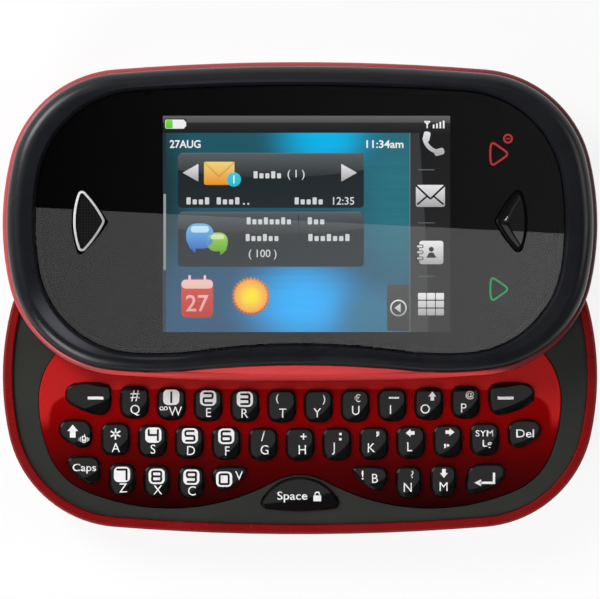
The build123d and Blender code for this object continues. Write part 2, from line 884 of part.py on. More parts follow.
def display_module():
    glass_bottom = display_bottom + display_glass
    frame = block(display_x, display_y, display_bottom, glass_bottom, display_length, display_width, 0.8)
    glass = block(
        display_x, display_y, glass_bottom, display_bottom + display_thickness,
        display_length - 2 * display_step, display_width - 2 * display_step, 0.3,
    )
    return frame + glass


def earpiece_trim():
    trim = slab(ring(ear_left), window_z, window_face + trim_proud)
    trim = chamfer(trim.edges().group_by(Axis.Z)[-1], trim_edge)
    return trim - slab(ring(ear_left, -ear_wall), window_z, bezel_top)


def earpiece_mesh():
    low = window_z + loose_gap
    return slab(ring(ear_left, -ear_wall - shaft_gap), low, low + ear_mesh_thickness)


def nav_key():
    low = window_z - nav_depth
    key = slab(ring(ear_right), low, window_face + nav_proud)
    key = chamfer(key.edges().group_by(Axis.Z)[-1], nav_edge)
    return key + slab(ring(ear_right, nav_flange), low, low + nav_flange_thickness)


def slider_board():
    board = slab(ring(body, -upper_board_inset), upper_board_z, rim_top)
    receiver = slab(ring(ear_left, -receiver_margin), rim_top, window_z - loose_gap)
    dome_top = window_z - nav_depth - nav_travel - display_gap
    dome = post(ear_x, ear_y, rim_top, dome_top, dome_radius)
    return [board, receiver, dome]


# --- Writing the parts ---------------------------------------------------------------------------


def write(name, shape, shift=0.0):
    solids = [s for piece in (shape if isinstance(shape, list) else [shape]) for s in piece.solids()]
    placed = [Pos(0, shift, 0) * solid for solid in solids]
    export_step(placed[0] if len(placed) == 1 else Compound(placed), f"parts/{name}.step")


base_parts = [
    battery_cover, battery, base_shell, volume_key, keypad_tray, keypad_plate, key_mat, main_board,
    headset_jack, usb_socket, camera_module, loudspeaker, casing_screws, slide_guide, slide_springs,
    flex_cable,
]
slider_parts = [
    slider_rim, front_bezel, front_window, display_module, earpiece_trim, earpiece_mesh, nav_key,
    slider_board, slide_plate,
]
os.makedirs("parts", exist_ok=True)
for make in base_parts:
    write(make.__name__, make())
for make in slider_parts:
    write(make.__name__, make(), slide_travel)
for name in keys:
    write(f"key_{name}", key_cap(name))
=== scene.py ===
# %% [markdown]
# # Dressing a slider phone
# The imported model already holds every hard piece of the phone: shells, frame, window, keys and the
# works inside. What it cannot carry is the look of them. This lesson gives each piece its finish,
# then adds the thin things that sit on them: the black print behind the window, the lit picture of
# the display, the call marks, and the legends on thirty-five keys. Everything is in metres and in
# the model's own frame, so a printed mark is placed by asking the frame where its key is.

# %% Load the frame
import json
import math

import bmesh
import bpy
from mathutils import Matrix, Vector
from mathutils.bvhtree import BVHTree
from mathutils.geometry import convex_hull_2d


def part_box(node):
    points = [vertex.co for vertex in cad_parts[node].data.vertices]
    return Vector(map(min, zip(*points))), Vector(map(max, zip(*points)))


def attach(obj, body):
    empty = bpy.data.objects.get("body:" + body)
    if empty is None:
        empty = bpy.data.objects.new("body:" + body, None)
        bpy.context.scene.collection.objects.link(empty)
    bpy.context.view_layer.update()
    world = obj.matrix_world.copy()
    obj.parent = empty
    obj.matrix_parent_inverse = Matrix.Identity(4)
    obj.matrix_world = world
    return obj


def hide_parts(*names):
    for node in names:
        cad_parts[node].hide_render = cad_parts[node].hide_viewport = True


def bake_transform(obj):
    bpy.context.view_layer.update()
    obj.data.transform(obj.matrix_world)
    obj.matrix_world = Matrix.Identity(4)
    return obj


mm = 0.001
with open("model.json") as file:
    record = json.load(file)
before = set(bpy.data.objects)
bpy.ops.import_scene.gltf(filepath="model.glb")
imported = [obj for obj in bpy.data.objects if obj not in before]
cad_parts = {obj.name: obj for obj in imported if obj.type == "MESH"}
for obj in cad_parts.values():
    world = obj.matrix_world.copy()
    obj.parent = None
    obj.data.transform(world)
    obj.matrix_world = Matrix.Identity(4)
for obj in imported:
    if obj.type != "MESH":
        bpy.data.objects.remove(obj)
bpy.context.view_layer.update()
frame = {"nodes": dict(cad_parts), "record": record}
nodes = frame["nodes"]
window_low, window_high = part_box("front_window")
display_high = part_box("display_module")[1]
print(len(nodes), "nodes; the window's face is", round(window_high.z / mm, 2), "mm up")

# %% [markdown]
# ## Camera
# The phone is seen flat on, from straight above its middle, with almost no perspective. A very long
# lens from four metres away gives that and still is an ordinary camera, which other views can turn.

# %% Camera
view_width = 102.354 * mm
view_middle = Vector((0, 13.08 * mm, 12 * mm))
camera_distance = 4.0
lens = bpy.data.cameras.new("camera")
lens.sensor_width = 36.0
lens.lens = lens.sensor_width * camera_distance / view_width
lens.clip_start = 0.1
lens.clip_end = 20.0
camera = bpy.data.objects.new("camera", lens)
camera.location = view_middle + Vector((0, 0, camera_distance))
bpy.context.scene.collection.objects.link(camera)
bpy.context.scene.camera = camera
bpy.context.scene.view_settings.view_transform = "Standard"
print("lens", round(lens.lens), "mm")

# %% [markdown]
# ## Node helpers
# Materials here are built in code, so small helpers save typing. One makes a material with its plain
# constants on the shader's own sockets and keeps it by its name, and the others add a node whose
# inputs may be numbers or other nodes' outputs. Two more turn a bmesh into an object and raise it,
# because every added shape in this lesson begins as a flat one.

# %% Helpers for materials
finishes = {}


def new_finish(name, colour, roughness, extra=None):
    """A material with one Principled shader, whose constants sit on its own sockets."""
    material = bpy.data.materials.new(name)
    finishes[name] = material
    material.use_nodes = True
    shader = material.node_tree.nodes["Principled BSDF"]
    shader.inputs["Base Color"].default_value = (*colour, 1)
    shader.inputs["Roughness"].default_value = roughness
    for socket, value in (extra or {}).items():
        shader.inputs[socket].default_value = value
    return material.node_tree, shader


def add(tree, kind, **settings):
    node = tree.nodes.new("ShaderNode" + kind)
    for key, value in settings.items():
        setattr(node, key, value)
    return node


def feed(tree, socket, value):
    """Connects an output to a socket, or sets the socket to a plain value."""
    if isinstance(value, bpy.types.NodeSocket):
        tree.links.new(value, socket)
    else:
        socket.default_value = value


def here(tree, kind="Object"):
    """The place in the piece's own frame or, with Generated, as shares of its box."""
    return add(tree, "TexCoord").outputs[kind]


def axes_of(tree, value):
    node = add(tree, "SeparateXYZ")
    feed(tree, node.inputs[0], value)
    return node.outputs


def maths(tree, operation, first, second=0.0, third=0.0):
    node = add(tree, "Math", operation=operation)
    for socket, value in zip(node.inputs, (first, second, third)):
        feed(tree, socket, value)
    return node.outputs[0]


def vector_maths(tree, operation, first, second=(0, 0, 0)):
    node = add(tree, "VectorMath", operation=operation)
    feed(tree, node.inputs[0], first)
    feed(tree, node.inputs[1], second)
    return node.outputs["Value" if operation in ("LENGTH", "DOT_PRODUCT") else "Vector"]


def rescale(tree, value, old_low, old_high, low, high, kind="LINEAR"):
    node = add(tree, "MapRange", interpolation_type=kind)
    for label, number in (("From Min", old_low), ("From Max", old_high), ("To Min", low), ("To Max", high)):
        feed(tree, node.inputs[label], number)
    feed(tree, node.inputs["Value"], value)
    return node.outputs["Result"]


def blend_colours(tree, share, first, second):
    node = add(tree, "Mix", data_type="RGBA")
    feed(tree, node.inputs["Factor"], share)
    feed(tree, node.inputs["A"], first)
    feed(tree, node.inputs["B"], second)
    return node.outputs["Result"]


def blend_values(tree, share, first, second):
    node = add(tree, "Mix", data_type="FLOAT")
    for number, value in ((0, share), (2, first), (3, second)):
        feed(tree, node.inputs[number], value)
    return node.outputs[0]


print("node helpers ready")


# %% Helpers for groups, noise and relief
def new_group(name, inputs, outputs):
    """An empty node group. inputs are (name, type, default) and outputs (name, type)."""
    group = bpy.data.node_groups.new(name, "ShaderNodeTree")
    for label, kind, value in inputs:
        socket = group.interface.new_socket(label, in_out="INPUT", socket_type="NodeSocket" + kind)
        socket.default_value = value
    for label, kind in outputs:
        group.interface.new_socket(label, in_out="OUTPUT", socket_type="NodeSocket" + kind)
    return group, group.nodes.new("NodeGroupInput").outputs, group.nodes.new("NodeGroupOutput").inputs


def use(tree, group, **values):
    """A group placed in a material with its own values."""
    node = add(tree, "Group", node_tree=group)
    for label, value in values.items():
        feed(tree, node.inputs[label], value)
    return node.outputs


def noise(tree, place, scale, detail=2.0, rough=0.5):
    node = add(tree, "TexNoise")
    feed(tree, node.inputs["Vector"], place)
    feed(tree, node.inputs["Scale"], scale)
    node.inputs["Detail"].default_value = detail
    node.inputs["Roughness"].default_value = rough
    return node.outputs[0]


def relief(tree, shader, height, depth):
    """A Bump node: height runs from 0 to 1, and depth is what that is in metres."""
    bump = add(tree, "Bump")
    bump.inputs["Distance"].default_value = depth
    bump.inputs["Strength"].default_value = 1.0
    feed(tree, bump.inputs["Height"], height)
    feed(tree, shader.inputs["Normal"], bump.outputs[0])


print("group helpers ready")


# %% Helpers for shapes
def to_object(name, sheet, *materials):
    """A bmesh becomes an object in the scene."""
    mesh = bpy.data.meshes.new(name)
    sheet.to_mesh(mesh)
    sheet.free()
    for material in materials:
        mesh.materials.append(material)
    made = bpy.data.objects.new(name, mesh)
    bpy.context.scene.collection.objects.link(made)
    return made


def raise_by(sheet, height):
    bmesh.ops.translate(sheet, vec=(0, 0, height), verts=sheet.verts[:])
    return sheet


print("shape helpers ready")

# %% [markdown]
# ## Floor, room and lamps
# The floor is pale to the camera, to gloss and to glass, and it stays white because most of it shines
# by itself; the rest is plain diffuse white, so the phone's shadow still falls on it. It is clear from
# below, so the back can be looked at too. The room is white near the horizon and dark overhead, the
# way a studio with a black ceiling is, because black gloss seen from above only looks black when
# it mirrors something dark.

# %% Floor
floor_reach = 3.0
floor_drop = 0.1 * mm
lit_share = 0.14
tree, shader = new_finish("floor", (0.9, 0.9, 0.9), 0.9, {"Specular IOR Level": 0.0})
sheet = bmesh.new()
bmesh.ops.create_grid(sheet, x_segments=1, y_segments=1, size=floor_reach)
floor = to_object("floor", raise_by(sheet, -floor_drop), finishes["floor"])
floor.visible_diffuse = False
floor.visible_shadow = False
glow = add(tree, "Emission")
glow.inputs["Strength"].default_value = 1.0
surface = add(tree, "MixShader")
surface.inputs[0].default_value = lit_share
feed(tree, surface.inputs[1], glow.outputs[0])
feed(tree, surface.inputs[2], shader.outputs[0])
through = add(tree, "MixShader")
feed(tree, through.inputs[0], add(tree, "NewGeometry").outputs["Backfacing"])
feed(tree, through.inputs[1], surface.outputs[0])
feed(tree, through.inputs[2], add(tree, "BsdfTransparent").outputs[0])
feed(tree, tree.nodes["Material Output"].inputs["Surface"], through.outputs[0])
print("floor laid")

# %% Room
world = bpy.data.worlds.new("room")
world.use_nodes = True
bpy.context.scene.world = world
tree = world.node_tree
room = tree.nodes["Background"]
way = here(tree, "Generated")
ceiling_dark = 0.04
horizon_back = 1.0
horizon_front = 0.14
scattered = 0.25
toward_back = vector_maths(tree, "DOT_PRODUCT", way, (-0.5, 0.86, 0.0))
horizon = rescale(tree, toward_back, -0.2, 0.9, horizon_front, horizon_back, "SMOOTHSTEP")
height = rescale(tree, axes_of(tree, way)["Z"], 0.25, 0.80, 0.0, 1.0, "SMOOTHSTEP")
mirrored = blend_values(tree, height, horizon, ceiling_dark)
path = add(tree, "LightPath").outputs
seen = maths(tree, "MAXIMUM", path["Is Glossy Ray"], path["Is Transmission Ray"])
strength = blend_values(tree, seen, scattered, mirrored)
room.inputs["Color"].default_value = (1, 1, 1, 1)
feed(tree, room.inputs["Strength"], maths(tree, "MAXIMUM", strength, path["Is Camera Ray"]))
print("room lit")


# %% Lamps
def softbox(name, place, aim, size, power):
    """A square area lamp that points at aim."""
    lamp = bpy.data.lights.new(name, "AREA")
    lamp.size = size
    lamp.energy = power
    fixture = bpy.data.objects.new(name, lamp)
    fixture.location = place
    fixture.rotation_euler = (Vector(aim) - Vector(place)).to_track_quat("-Z", "Y").to_euler()
    bpy.context.scene.collection.objects.link(fixture)


aim = (0, 13 * mm, 0)
softbox("key lamp", (-0.55, 0.45, 0.50), aim, 0.35, 5.5)
softbox("fill lamp", (0.65, 0.15, 0.50), aim, 0.40, 1.2)
softbox("front lamp", (-0.38, -0.54, 0.40), aim, 0.35, 3.7)
softbox("under lamp", (0.1, -0.25, -0.60), aim, 0.50, 8.0)
print("four lamps")


# %% [markdown]
# ## Reflected cards
# Photographers shape black gloss by what it mirrors, with cards that only gloss and glass can see here.
# Two of them hang close over the window and have its outline: a bright one over its lower part and a
# dark one over the rest, so a straight-edged sheen crosses the glass. A black one darkens the glass
# round the earpiece, and one over the frame carries three soft lights. A high round one stands off to
# the back left, where crowned key tops and round edges catch it. They are hung at the end of the
# lesson, because their outlines come from pieces made on the way.


# %% Cards
def card_finish(name, strength, shade=None):
    material = bpy.data.materials.new(name)
    material.use_nodes = True
    tree = material.node_tree
    tree.nodes.remove(tree.nodes["Principled BSDF"])
    glow = add(tree, "Emission")
    glow.inputs["Strength"].default_value = strength
    if shade:
        feed(tree, glow.inputs["Color"], shade(tree))
    feed(tree, tree.nodes["Material Output"].inputs["Surface"], glow.outputs[0])
    return material


def card(name, sheet, strength, shade=None):
    """A glowing sheet that only reflections see."""
    hung = to_object(name, sheet, card_finish(name, strength, shade))
    hung.visible_camera = False
    hung.visible_diffuse = False
    hung.visible_shadow = False
    return hung


# %% [markdown]
# ## Effects that many finishes share
# Real mouldings differ less in colour than in how their skin breaks up light. Each effect below is
# one node group with named inputs, so a finish only says how coarse or how strong it wants it:
# * *skin grain* is the fine texture that a mould leaves;
# * *handling marks* makes roughness wander, as fingers do to gloss;
# * *tone drift* shifts a colour by a few percent, as pigment does;
# * *drawn lines* is the grain of rolled or brushed metal;
# * *up fade* blends two colours between two heights on the face, or between two places on any axis;
# * *crown* is the shallow pillow shape of a key top;
# * *soft spot* is a round mask that fades out, and *outside a rounded box* is a band beyond a box.

# %% Skin grain, handling marks and tone drift
grain, ins, outs = new_group("skin grain", [("Scale", "Float", 4000.0)], [("Height", "Float")])
place = here(grain)
cells = add(grain, "TexVoronoi", feature="SMOOTH_F1")
feed(grain, cells.inputs["Vector"], place)
feed(grain, cells.inputs["Scale"], ins["Scale"])
soft = noise(grain, place, maths(grain, "MULTIPLY", ins["Scale"], 0.37), 3.0)
feed(grain, outs["Height"], maths(grain, "MULTIPLY_ADD", cells.outputs["Distance"], 0.7, soft))

marks, ins, outs = new_group(
    "handling marks",
    [("Scale", "Float", 60.0), ("Low", "Float", 0.1), ("High", "Float", 0.3)],
    [("Roughness", "Float")],
)
place = here(marks)
broad = noise(marks, place, ins["Scale"], 4.0, 0.6)
streak_place = add(marks, "Mapping")
feed(marks, streak_place.inputs["Vector"], place)
streak_place.inputs["Rotation"].default_value = (0, 0, 0.6)
streak_place.inputs["Scale"].default_value = (1, 7, 1)
streaks = noise(marks, streak_place.outputs[0], maths(marks, "MULTIPLY", ins["Scale"], 2.1), 3.0)
mixed = maths(marks, "MULTIPLY_ADD", streaks, 0.1, maths(marks, "MULTIPLY", broad, 0.9))
feed(marks, outs["Roughness"], rescale(marks, mixed, 0.35, 0.65, ins["Low"], ins["High"], "SMOOTHSTEP"))

drift, ins, outs = new_group(
    "tone drift",
    [("Colour", "Color", (0.5, 0.5, 0.5, 1)), ("Amount", "Float", 0.1), ("Scale", "Float", 90.0)],
    [("Colour", "Color")],
)
place = here(drift)
wander = noise(drift, place, ins["Scale"], 3.0)
least = maths(drift, "SUBTRACT", 1.0, ins["Amount"])
most = maths(drift, "ADD", 1.0, ins["Amount"])
level = rescale(drift, wander, 0.3, 0.7, least, most)
scaled = vector_maths(drift, "MULTIPLY", ins["Colour"], level)
feed(drift, outs["Colour"], scaled)
print("three groups")

# %% Drawn lines, up fade and crown
lines, ins, outs = new_group(
    "drawn lines",
    [("Scale", "Float", 3000.0), ("Low", "Float", 0.2), ("High", "Float", 0.4)],
    [("Height", "Float"), ("Roughness", "Float")],
)
place = add(lines, "Mapping")
feed(lines, place.inputs["Vector"], here(lines))
place.inputs["Scale"].default_value = (0.03, 1, 1)
line = noise(lines, place.outputs[0], ins["Scale"], 4.0, 0.7)
feed(lines, outs["Height"], line)
feed(lines, outs["Roughness"], rescale(lines, line, 0.3, 0.7, ins["Low"], ins["High"]))

fade, ins, outs = new_group(
    "up fade",
    [
        ("Low", "Float", 0.0), ("High", "Float", 0.01), ("Axis", "Vector", (0, 1, 0)),
        ("Below", "Color", (0, 0, 0, 1)), ("Above", "Color", (1, 1, 1, 1)),
    ],
    [("Colour", "Color"), ("Share", "Float")],
)
height = vector_maths(fade, "DOT_PRODUCT", here(fade), ins["Axis"])
share = rescale(fade, height, ins["Low"], ins["High"], 0.0, 1.0)
feed(fade, outs["Colour"], blend_colours(fade, share, ins["Below"], ins["Above"]))
feed(fade, outs["Share"], share)

crown_top = (0.80, 0.22, 0.5)
crown, ins, outs = new_group("crown", [("Fullness", "Float", 2.0)], [("Height", "Float")])
away = vector_maths(crown, "SUBTRACT", here(crown, "Generated"), crown_top)
flat = vector_maths(crown, "MULTIPLY", away, (1, 1, 0))
reach = vector_maths(crown, "LENGTH", flat)
hump = maths(crown, "MULTIPLY", maths(crown, "MULTIPLY", reach, reach), ins["Fullness"])
feed(crown, outs["Height"], maths(crown, "SUBTRACT", 1.0, hump))
print("six groups so far")


# %% Soft spot and outside a rounded box
def place_mask(name):
    """A group whose mask depends on the way from a centre, as shares of a reach along each axis."""
    where = [("Centre", "Vector", (0, 0, 0)), ("Reach", "Vector", (0.01, 0.01, 1))]
    group, ins, outs = new_group(name, where, [("Mask", "Float")])
    away = vector_maths(group, "SUBTRACT", here(group), ins["Centre"])
    return group, vector_maths(group, "DIVIDE", away, ins["Reach"]), outs


spot, away, outs = place_mask("soft spot")
reach = vector_maths(spot, "LENGTH", away)
feed(spot, outs["Mask"], rescale(spot, reach, 0.0, 1.0, 1.0, 0.0, "SMOOTHERSTEP"))

band, away, outs = place_mask("outside a rounded box")
shares = axes_of(band, away)
powers = [maths(band, "POWER", maths(band, "ABSOLUTE", shares[axis]), 8.0) for axis in ("X", "Y")]
reach = maths(band, "ADD", *powers)
upper = rescale(band, shares["Y"], 0.35, 0.65, 0.0, 1.0, "SMOOTHSTEP")
feed(band, outs["Mask"], maths(band, "MULTIPLY", upper, rescale(band, reach, 0.94, 1.06, 0.0, 1.0)))
print("eight groups so far")


# %% Effects put on a shader
def tint(tree, shader, colour, amount, scale):
    """A base colour that drifts. The colour is three numbers or another node's output."""
    if not isinstance(colour, bpy.types.NodeSocket):
        colour = (*colour, 1)
    drifting = use(tree, drift, Colour=colour, Amount=amount, Scale=scale)
    feed(tree, shader.inputs["Base Color"], drifting["Colour"])


def handle(tree, shader, scale, low, high):
    """Roughness that handling has made uneven."""
    feed(tree, shader.inputs["Roughness"], use(tree, marks, Scale=scale, Low=low, High=high)["Roughness"])


def skin(tree, shader, scale, depth):
    """The relief that a mould leaves."""
    relief(tree, shader, use(tree, grain, Scale=scale)["Height"], depth)


print("three effects for shaders")

# %% [markdown]
# ## Plastics
# The casing is two plastics. Red trim is moulded in colour and lacquered, so it has a clear coat
# over a faint orange peel. The dark frame, tray and battery cover are satin: a fine skin grain does
# more for them than any colour. One function makes both, and only its values differ. The rim's red
# carries painted light and shade: a painted highlight makes it palest at the middle of its front and
# at the left, and painted shade deepens it to the right and at its foot. The lip's brighter red is
# painted light too.


# %% Plastic finishes
def plastic(name, colour, low, high, grain_scale, grain_depth, drift_amount, coat=0.0, extra=None):
    """A moulded plastic. low and high bound its roughness, and coat lays lacquer over it."""
    settings = {"Coat Weight": coat, "Coat Roughness": 0.05, **(extra or {})}
    tree, shader = new_finish(name, colour, high, settings)
    tint(tree, shader, colour, drift_amount, 120.0)
    handle(tree, shader, 80.0, low, high)
    skin(tree, shader, grain_scale, grain_depth)


matt = {"Specular IOR Level": 0.3}
satin = {"Specular IOR Level": 0.36}
plastic("red_gloss", (0.200, 0.0022, 0.0026), 0.24, 0.34, 900.0, 1.5e-6, 0.05, 0.1, matt)
# The lip's finish is a brighter red than the rim's: painted light on its lit front.
plastic("red_lip_painted_light", (0.86, 0.064, 0.066), 0.30, 0.40, 900.0, 1.5e-6, 0.05, 0.0, matt)
plastic("red_rim_painted_shading", (0.44, 0.060, 0.062), 0.30, 0.40, 900.0, 1.5e-6, 0.05, 0.0, matt)
plastic("dark_tray", (0.0185, 0.0198, 0.0160), 0.50, 0.62, 7000.0, 4e-6, 0.10, 0.0, matt)
plastic("dark_bezel", (0.0064, 0.0068, 0.0092), 0.26, 0.36, 6000.0, 2e-6, 0.08, 0.0, satin)
plastic("cover_dark", (0.022, 0.022, 0.023), 0.50, 0.62, 3600.0, 1.8e-5, 0.10)
plastic("jack_black", (0.015, 0.015, 0.016), 0.35, 0.50, 5000.0, 4e-6, 0.10)
plastic("camera_black", (0.010, 0.010, 0.012), 0.12, 0.22, 6000.0, 1e-6, 0.05, 0.5)
plastic("speaker_black", (0.012, 0.012, 0.012), 0.50, 0.70, 2500.0, 2e-5, 0.12)
plastic("silicone", (0.42, 0.43, 0.44), 0.55, 0.70, 3000.0, 6e-6, 0.05)
# The rim's colour is painted light and shade: a lit red at the left deepens to a shaded red at the right.
rim_lit_red = (0.44, 0.060, 0.062, 1)
rim_shaded_red = (0.07, 0.003, 0.004, 1)
rim_highlight_red = (0.90, 0.068, 0.070, 1)
rim_foot_shade_red = (0.20, 0.001, 0.002, 1)
shade_start_x, shade_full_x = 10 * mm, 48 * mm
foot_shade_low, highlight_low, highlight_high = -0.95 * mm, 0.3 * mm, 1.3 * mm
tree = finishes["red_rim_painted_shading"].node_tree
painted_right_shade = use(tree, fade, Low=shade_start_x, High=shade_full_x, Axis=(1, 0, 0), Below=rim_lit_red, Above=rim_shaded_red)
# Painted shade darkens the rim's foot, and a painted highlight brightens the middle of its front.
foot = use(tree, fade, Low=foot_shade_low, High=highlight_low, Below=rim_foot_shade_red, Above=rim_highlight_red)
front = use(tree, fade, Low=highlight_low, High=highlight_high, Below=foot["Colour"], Above=painted_right_shade["Colour"])
feed(tree, tree.nodes["Principled BSDF"].inputs["Base Color"], front["Colour"])
print(len(finishes), "finishes so far")

# %% [markdown]
# ## Red key plate
# The plate behind the keys is a metallic red that is bright beside the upper half and falls to
# almost black at its lower edge. That fall is painted light and shade in the colour: two *up fade*
# groups in a row give it three stops. A paler band of painted glare follows its upper edge and turns
# down at both ends, which is the part outside a rounded box. Fine metal flakes glint in it.

# %% Key plate
plate_low, plate_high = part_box("keypad_plate")
# The plate's colour is painted light and shade: lit red at the top, falling to shaded near-black at the
# foot.
plate_lit_top_red = (0.300, 0.0006, 0.0009, 1)
plate_middle_red = (0.078, 0.0005, 0.0007, 1)
plate_shaded_foot_red = (0.0085, 0.0004, 0.0005, 1)
plate_glare_red = (0.440, 0.0140, 0.0140, 1)
foot_end, middle_low, middle_high = -14.0 * mm, -14.5 * mm, -1.0 * mm
glare_band_middle = (0, -14.0 * mm, 0)
glare_band_reach = (42.9 * mm, 11.8 * mm, 1.0)
tree, shader = new_finish("red_plate", plate_middle_red[:3], 0.15, {"Specular IOR Level": 0.2})
upper = use(tree, fade, Low=middle_low, High=middle_high, Below=plate_middle_red, Above=plate_lit_top_red)
lower = use(tree, fade, Low=plate_low.y, High=foot_end, Below=plate_shaded_foot_red, Above=upper["Colour"])
# This band's mask marks the painted glare along the plate's upper edge.
border = use(tree, band, Centre=glare_band_middle, Reach=glare_band_reach)
plate_painted_reds = blend_colours(tree, border["Mask"], lower["Colour"], plate_glare_red)
flakes = add(tree, "TexVoronoi")
feed(tree, flakes.inputs["Vector"], here(tree))
flakes.inputs["Scale"].default_value = 9000.0
glint = rescale(tree, flakes.outputs["Distance"], 0.0, 0.9, 1.22, 0.92)
feed(tree, shader.inputs["Base Color"], vector_maths(tree, "MULTIPLY", plate_painted_reds, glint))
handle(tree, shader, 90.0, 0.08, 0.16)
skin(tree, shader, 1200.0, 8e-7)
print("plate from", round(plate_low.y / mm, 1), "to", round(plate_high.y / mm, 1), "mm")

# %% [markdown]
# ## Key tops
# A key is a drop of clear-coated black plastic with a slightly pillowed top, and the pillow is what
# makes it read as a button: it bends the mirror image of the high card into a patch with a curved
# edge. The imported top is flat, so a *crown* in the Height of a Bump node bends the light without
# changing the shape. The select key has no pillow, only glossier plastic.

# %% Keys
crown_height = 0.55 * mm
tree, shader = new_finish("key_black", (0.0035, 0.0035, 0.0038), 0.06)
handle(tree, shader, 400.0, 0.03, 0.09)
relief(tree, shader, use(tree, crown, Fullness=2.0)["Height"], crown_height)
tree, shader = new_finish("nav_black", (0.0032, 0.0032, 0.0034), 0.01)
handle(tree, shader, 400.0, 0.004, 0.012)
print("keys crowned")

# %% [markdown]
# ## Metals
# Springs, guides and sockets are steel. Rolled sheet has a direction, so its roughness and relief
# come from noise stretched along it. The earpiece trim is a satin silver coat with little metal in
# it, with a painted highlight that makes it pale at its upper left and greyer toward the other side.


# %% Metal finishes
def metal(name, colour, low, high, line_scale, line_depth):
    tree, shader = new_finish(name, colour, high, {"Metallic": 1.0})
    grained = use(tree, lines, Scale=line_scale, Low=low, High=high)
    tint(tree, shader, colour, 0.06, 150.0)
    feed(tree, shader.inputs["Roughness"], grained["Roughness"])
    relief(tree, shader, grained["Height"], line_depth)


satin_share = 0.12
# The trim's colour is painted light: pale at its upper left, greyer toward the other side.
trim_shaded_grey = (0.38, 0.38, 0.39, 1)
trim_lit_pale = (0.95, 0.95, 0.96, 1)
trim_light_fade = {"Low": 40 * mm, "High": 51 * mm, "Axis": (-0.8, 0.6, 0)}
metal("steel", (0.50, 0.50, 0.52), 0.22, 0.38, 2500.0, 2e-6)
metal("steel_guide", (0.42, 0.42, 0.44), 0.26, 0.42, 2200.0, 2e-6)
metal("spring_steel", (0.62, 0.61, 0.60), 0.12, 0.25, 5000.0, 1e-6)
metal("steel_socket", (0.66, 0.66, 0.65), 0.18, 0.30, 3500.0, 1e-6)
metal("screw_steel", (0.16, 0.16, 0.17), 0.28, 0.45, 6000.0, 2e-6)
metal("chrome_trim", (0.95, 0.95, 0.96), 0.22, 0.34, 4000.0, 4e-7)
tree = finishes["chrome_trim"].node_tree
shader = tree.nodes["Principled BSDF"]
shader.inputs["Metallic"].default_value = satin_share
painted_upper_left_light = use(tree, fade, Below=trim_shaded_grey, Above=trim_lit_pale, **trim_light_fade)
feed(tree, shader.inputs["Base Color"], painted_upper_left_light["Colour"])
print(len(finishes), "finishes so far")

# %% [markdown]
# ## Glass, mesh, boards and the rest
# The window is a real clear slab, so what lies behind it shows, and both its faces mirror the room a
# little. The earpiece's mesh is a grid of fine holes, drawn from the fractional part of the
# position. The boards carry solder mask over copper tracks, and the ribbon its copper lines.

# %% Window glass
glass = {"Transmission Weight": 1.0, "IOR": 1.49}
new_finish("black_glass", (1, 1, 1), 0.0, glass)

# %% Grid of fine holes
holes, ins, outs = new_group(
    "fine holes",
    [("Pitch", "Float", 0.4 * mm), ("Hole", "Float", 0.32)],
    [("Mask", "Float")],
)
place = vector_maths(holes, "MULTIPLY", here(holes), (1, 1, 0))
inverse = maths(holes, "DIVIDE", 1.0, ins["Pitch"])
cell = vector_maths(holes, "FRACTION", vector_maths(holes, "MULTIPLY", place, inverse))
reach = vector_maths(holes, "LENGTH", vector_maths(holes, "SUBTRACT", cell, (0.5, 0.5, 0.0)))
edge = maths(holes, "ADD", ins["Hole"], 0.12)
feed(holes, outs["Mask"], rescale(holes, reach, ins["Hole"], edge, 1.0, 0.0, "SMOOTHSTEP"))

tree, shader = new_finish("mesh", (0.02, 0.02, 0.02), 0.5, {"Specular IOR Level": 0.1})
pierced = use(tree, holes, Pitch=0.51 * mm, Hole=0.25)
cloth = blend_colours(tree, pierced["Mask"], (0.0115, 0.0115, 0.012, 1), (0.0004, 0.0004, 0.0004, 1))
feed(tree, shader.inputs["Base Color"], cloth)
relief(tree, shader, maths(tree, "SUBTRACT", 1.0, pierced["Mask"]), 6e-5)
print("glass and mesh")

# %% Boards, ribbon, battery and display frame
tree, shader = new_finish("board_green", (0.01, 0.08, 0.03), 0.35, {"Coat Weight": 0.3})
place = here(tree)
bricks = add(tree, "TexBrick")
feed(tree, bricks.inputs["Vector"], place)
bricks.inputs["Scale"].default_value = 900.0
bricks.inputs["Mortar Size"].default_value = 0.03
bricks.inputs["Color1"].default_value = (0.008, 0.070, 0.026, 1)
bricks.inputs["Color2"].default_value = (0.010, 0.085, 0.033, 1)
bricks.inputs["Mortar"].default_value = (0.030, 0.170, 0.070, 1)
feed(tree, shader.inputs["Base Color"], bricks.outputs["Color"])
handle(tree, shader, 120.0, 0.25, 0.45)
relief(tree, shader, bricks.outputs["Fac"], 1.5e-5)

tree, shader = new_finish("flex_amber", (0.40, 0.17, 0.03), 0.3)
wave = add(tree, "TexWave", bands_direction="X")
feed(tree, wave.inputs["Vector"], here(tree))
wave.inputs["Scale"].default_value = 700.0
line = rescale(tree, wave.outputs["Fac"], 0.45, 0.6, 0.0, 1.0)
copper = blend_colours(tree, line, (0.36, 0.13, 0.02, 1), (0.55, 0.27, 0.07, 1))
feed(tree, shader.inputs["Base Color"], copper)
relief(tree, shader, line, 1.2e-5)

tree, shader = new_finish("battery_label", (0.05, 0.05, 0.055), 0.45)
label_foot, label_edge = -9.0 * mm, 0.1 * mm
label_grey = (0.30, 0.31, 0.33, 1)
label_black = (0.045, 0.046, 0.05, 1)
stripe = use(tree, fade, Low=label_foot, High=label_foot + label_edge, Below=label_grey, Above=label_black)
tint(tree, shader, stripe["Colour"], 0.08, 160.0)
skin(tree, shader, 2600.0, 6e-6)
print(len(finishes), "finishes so far")


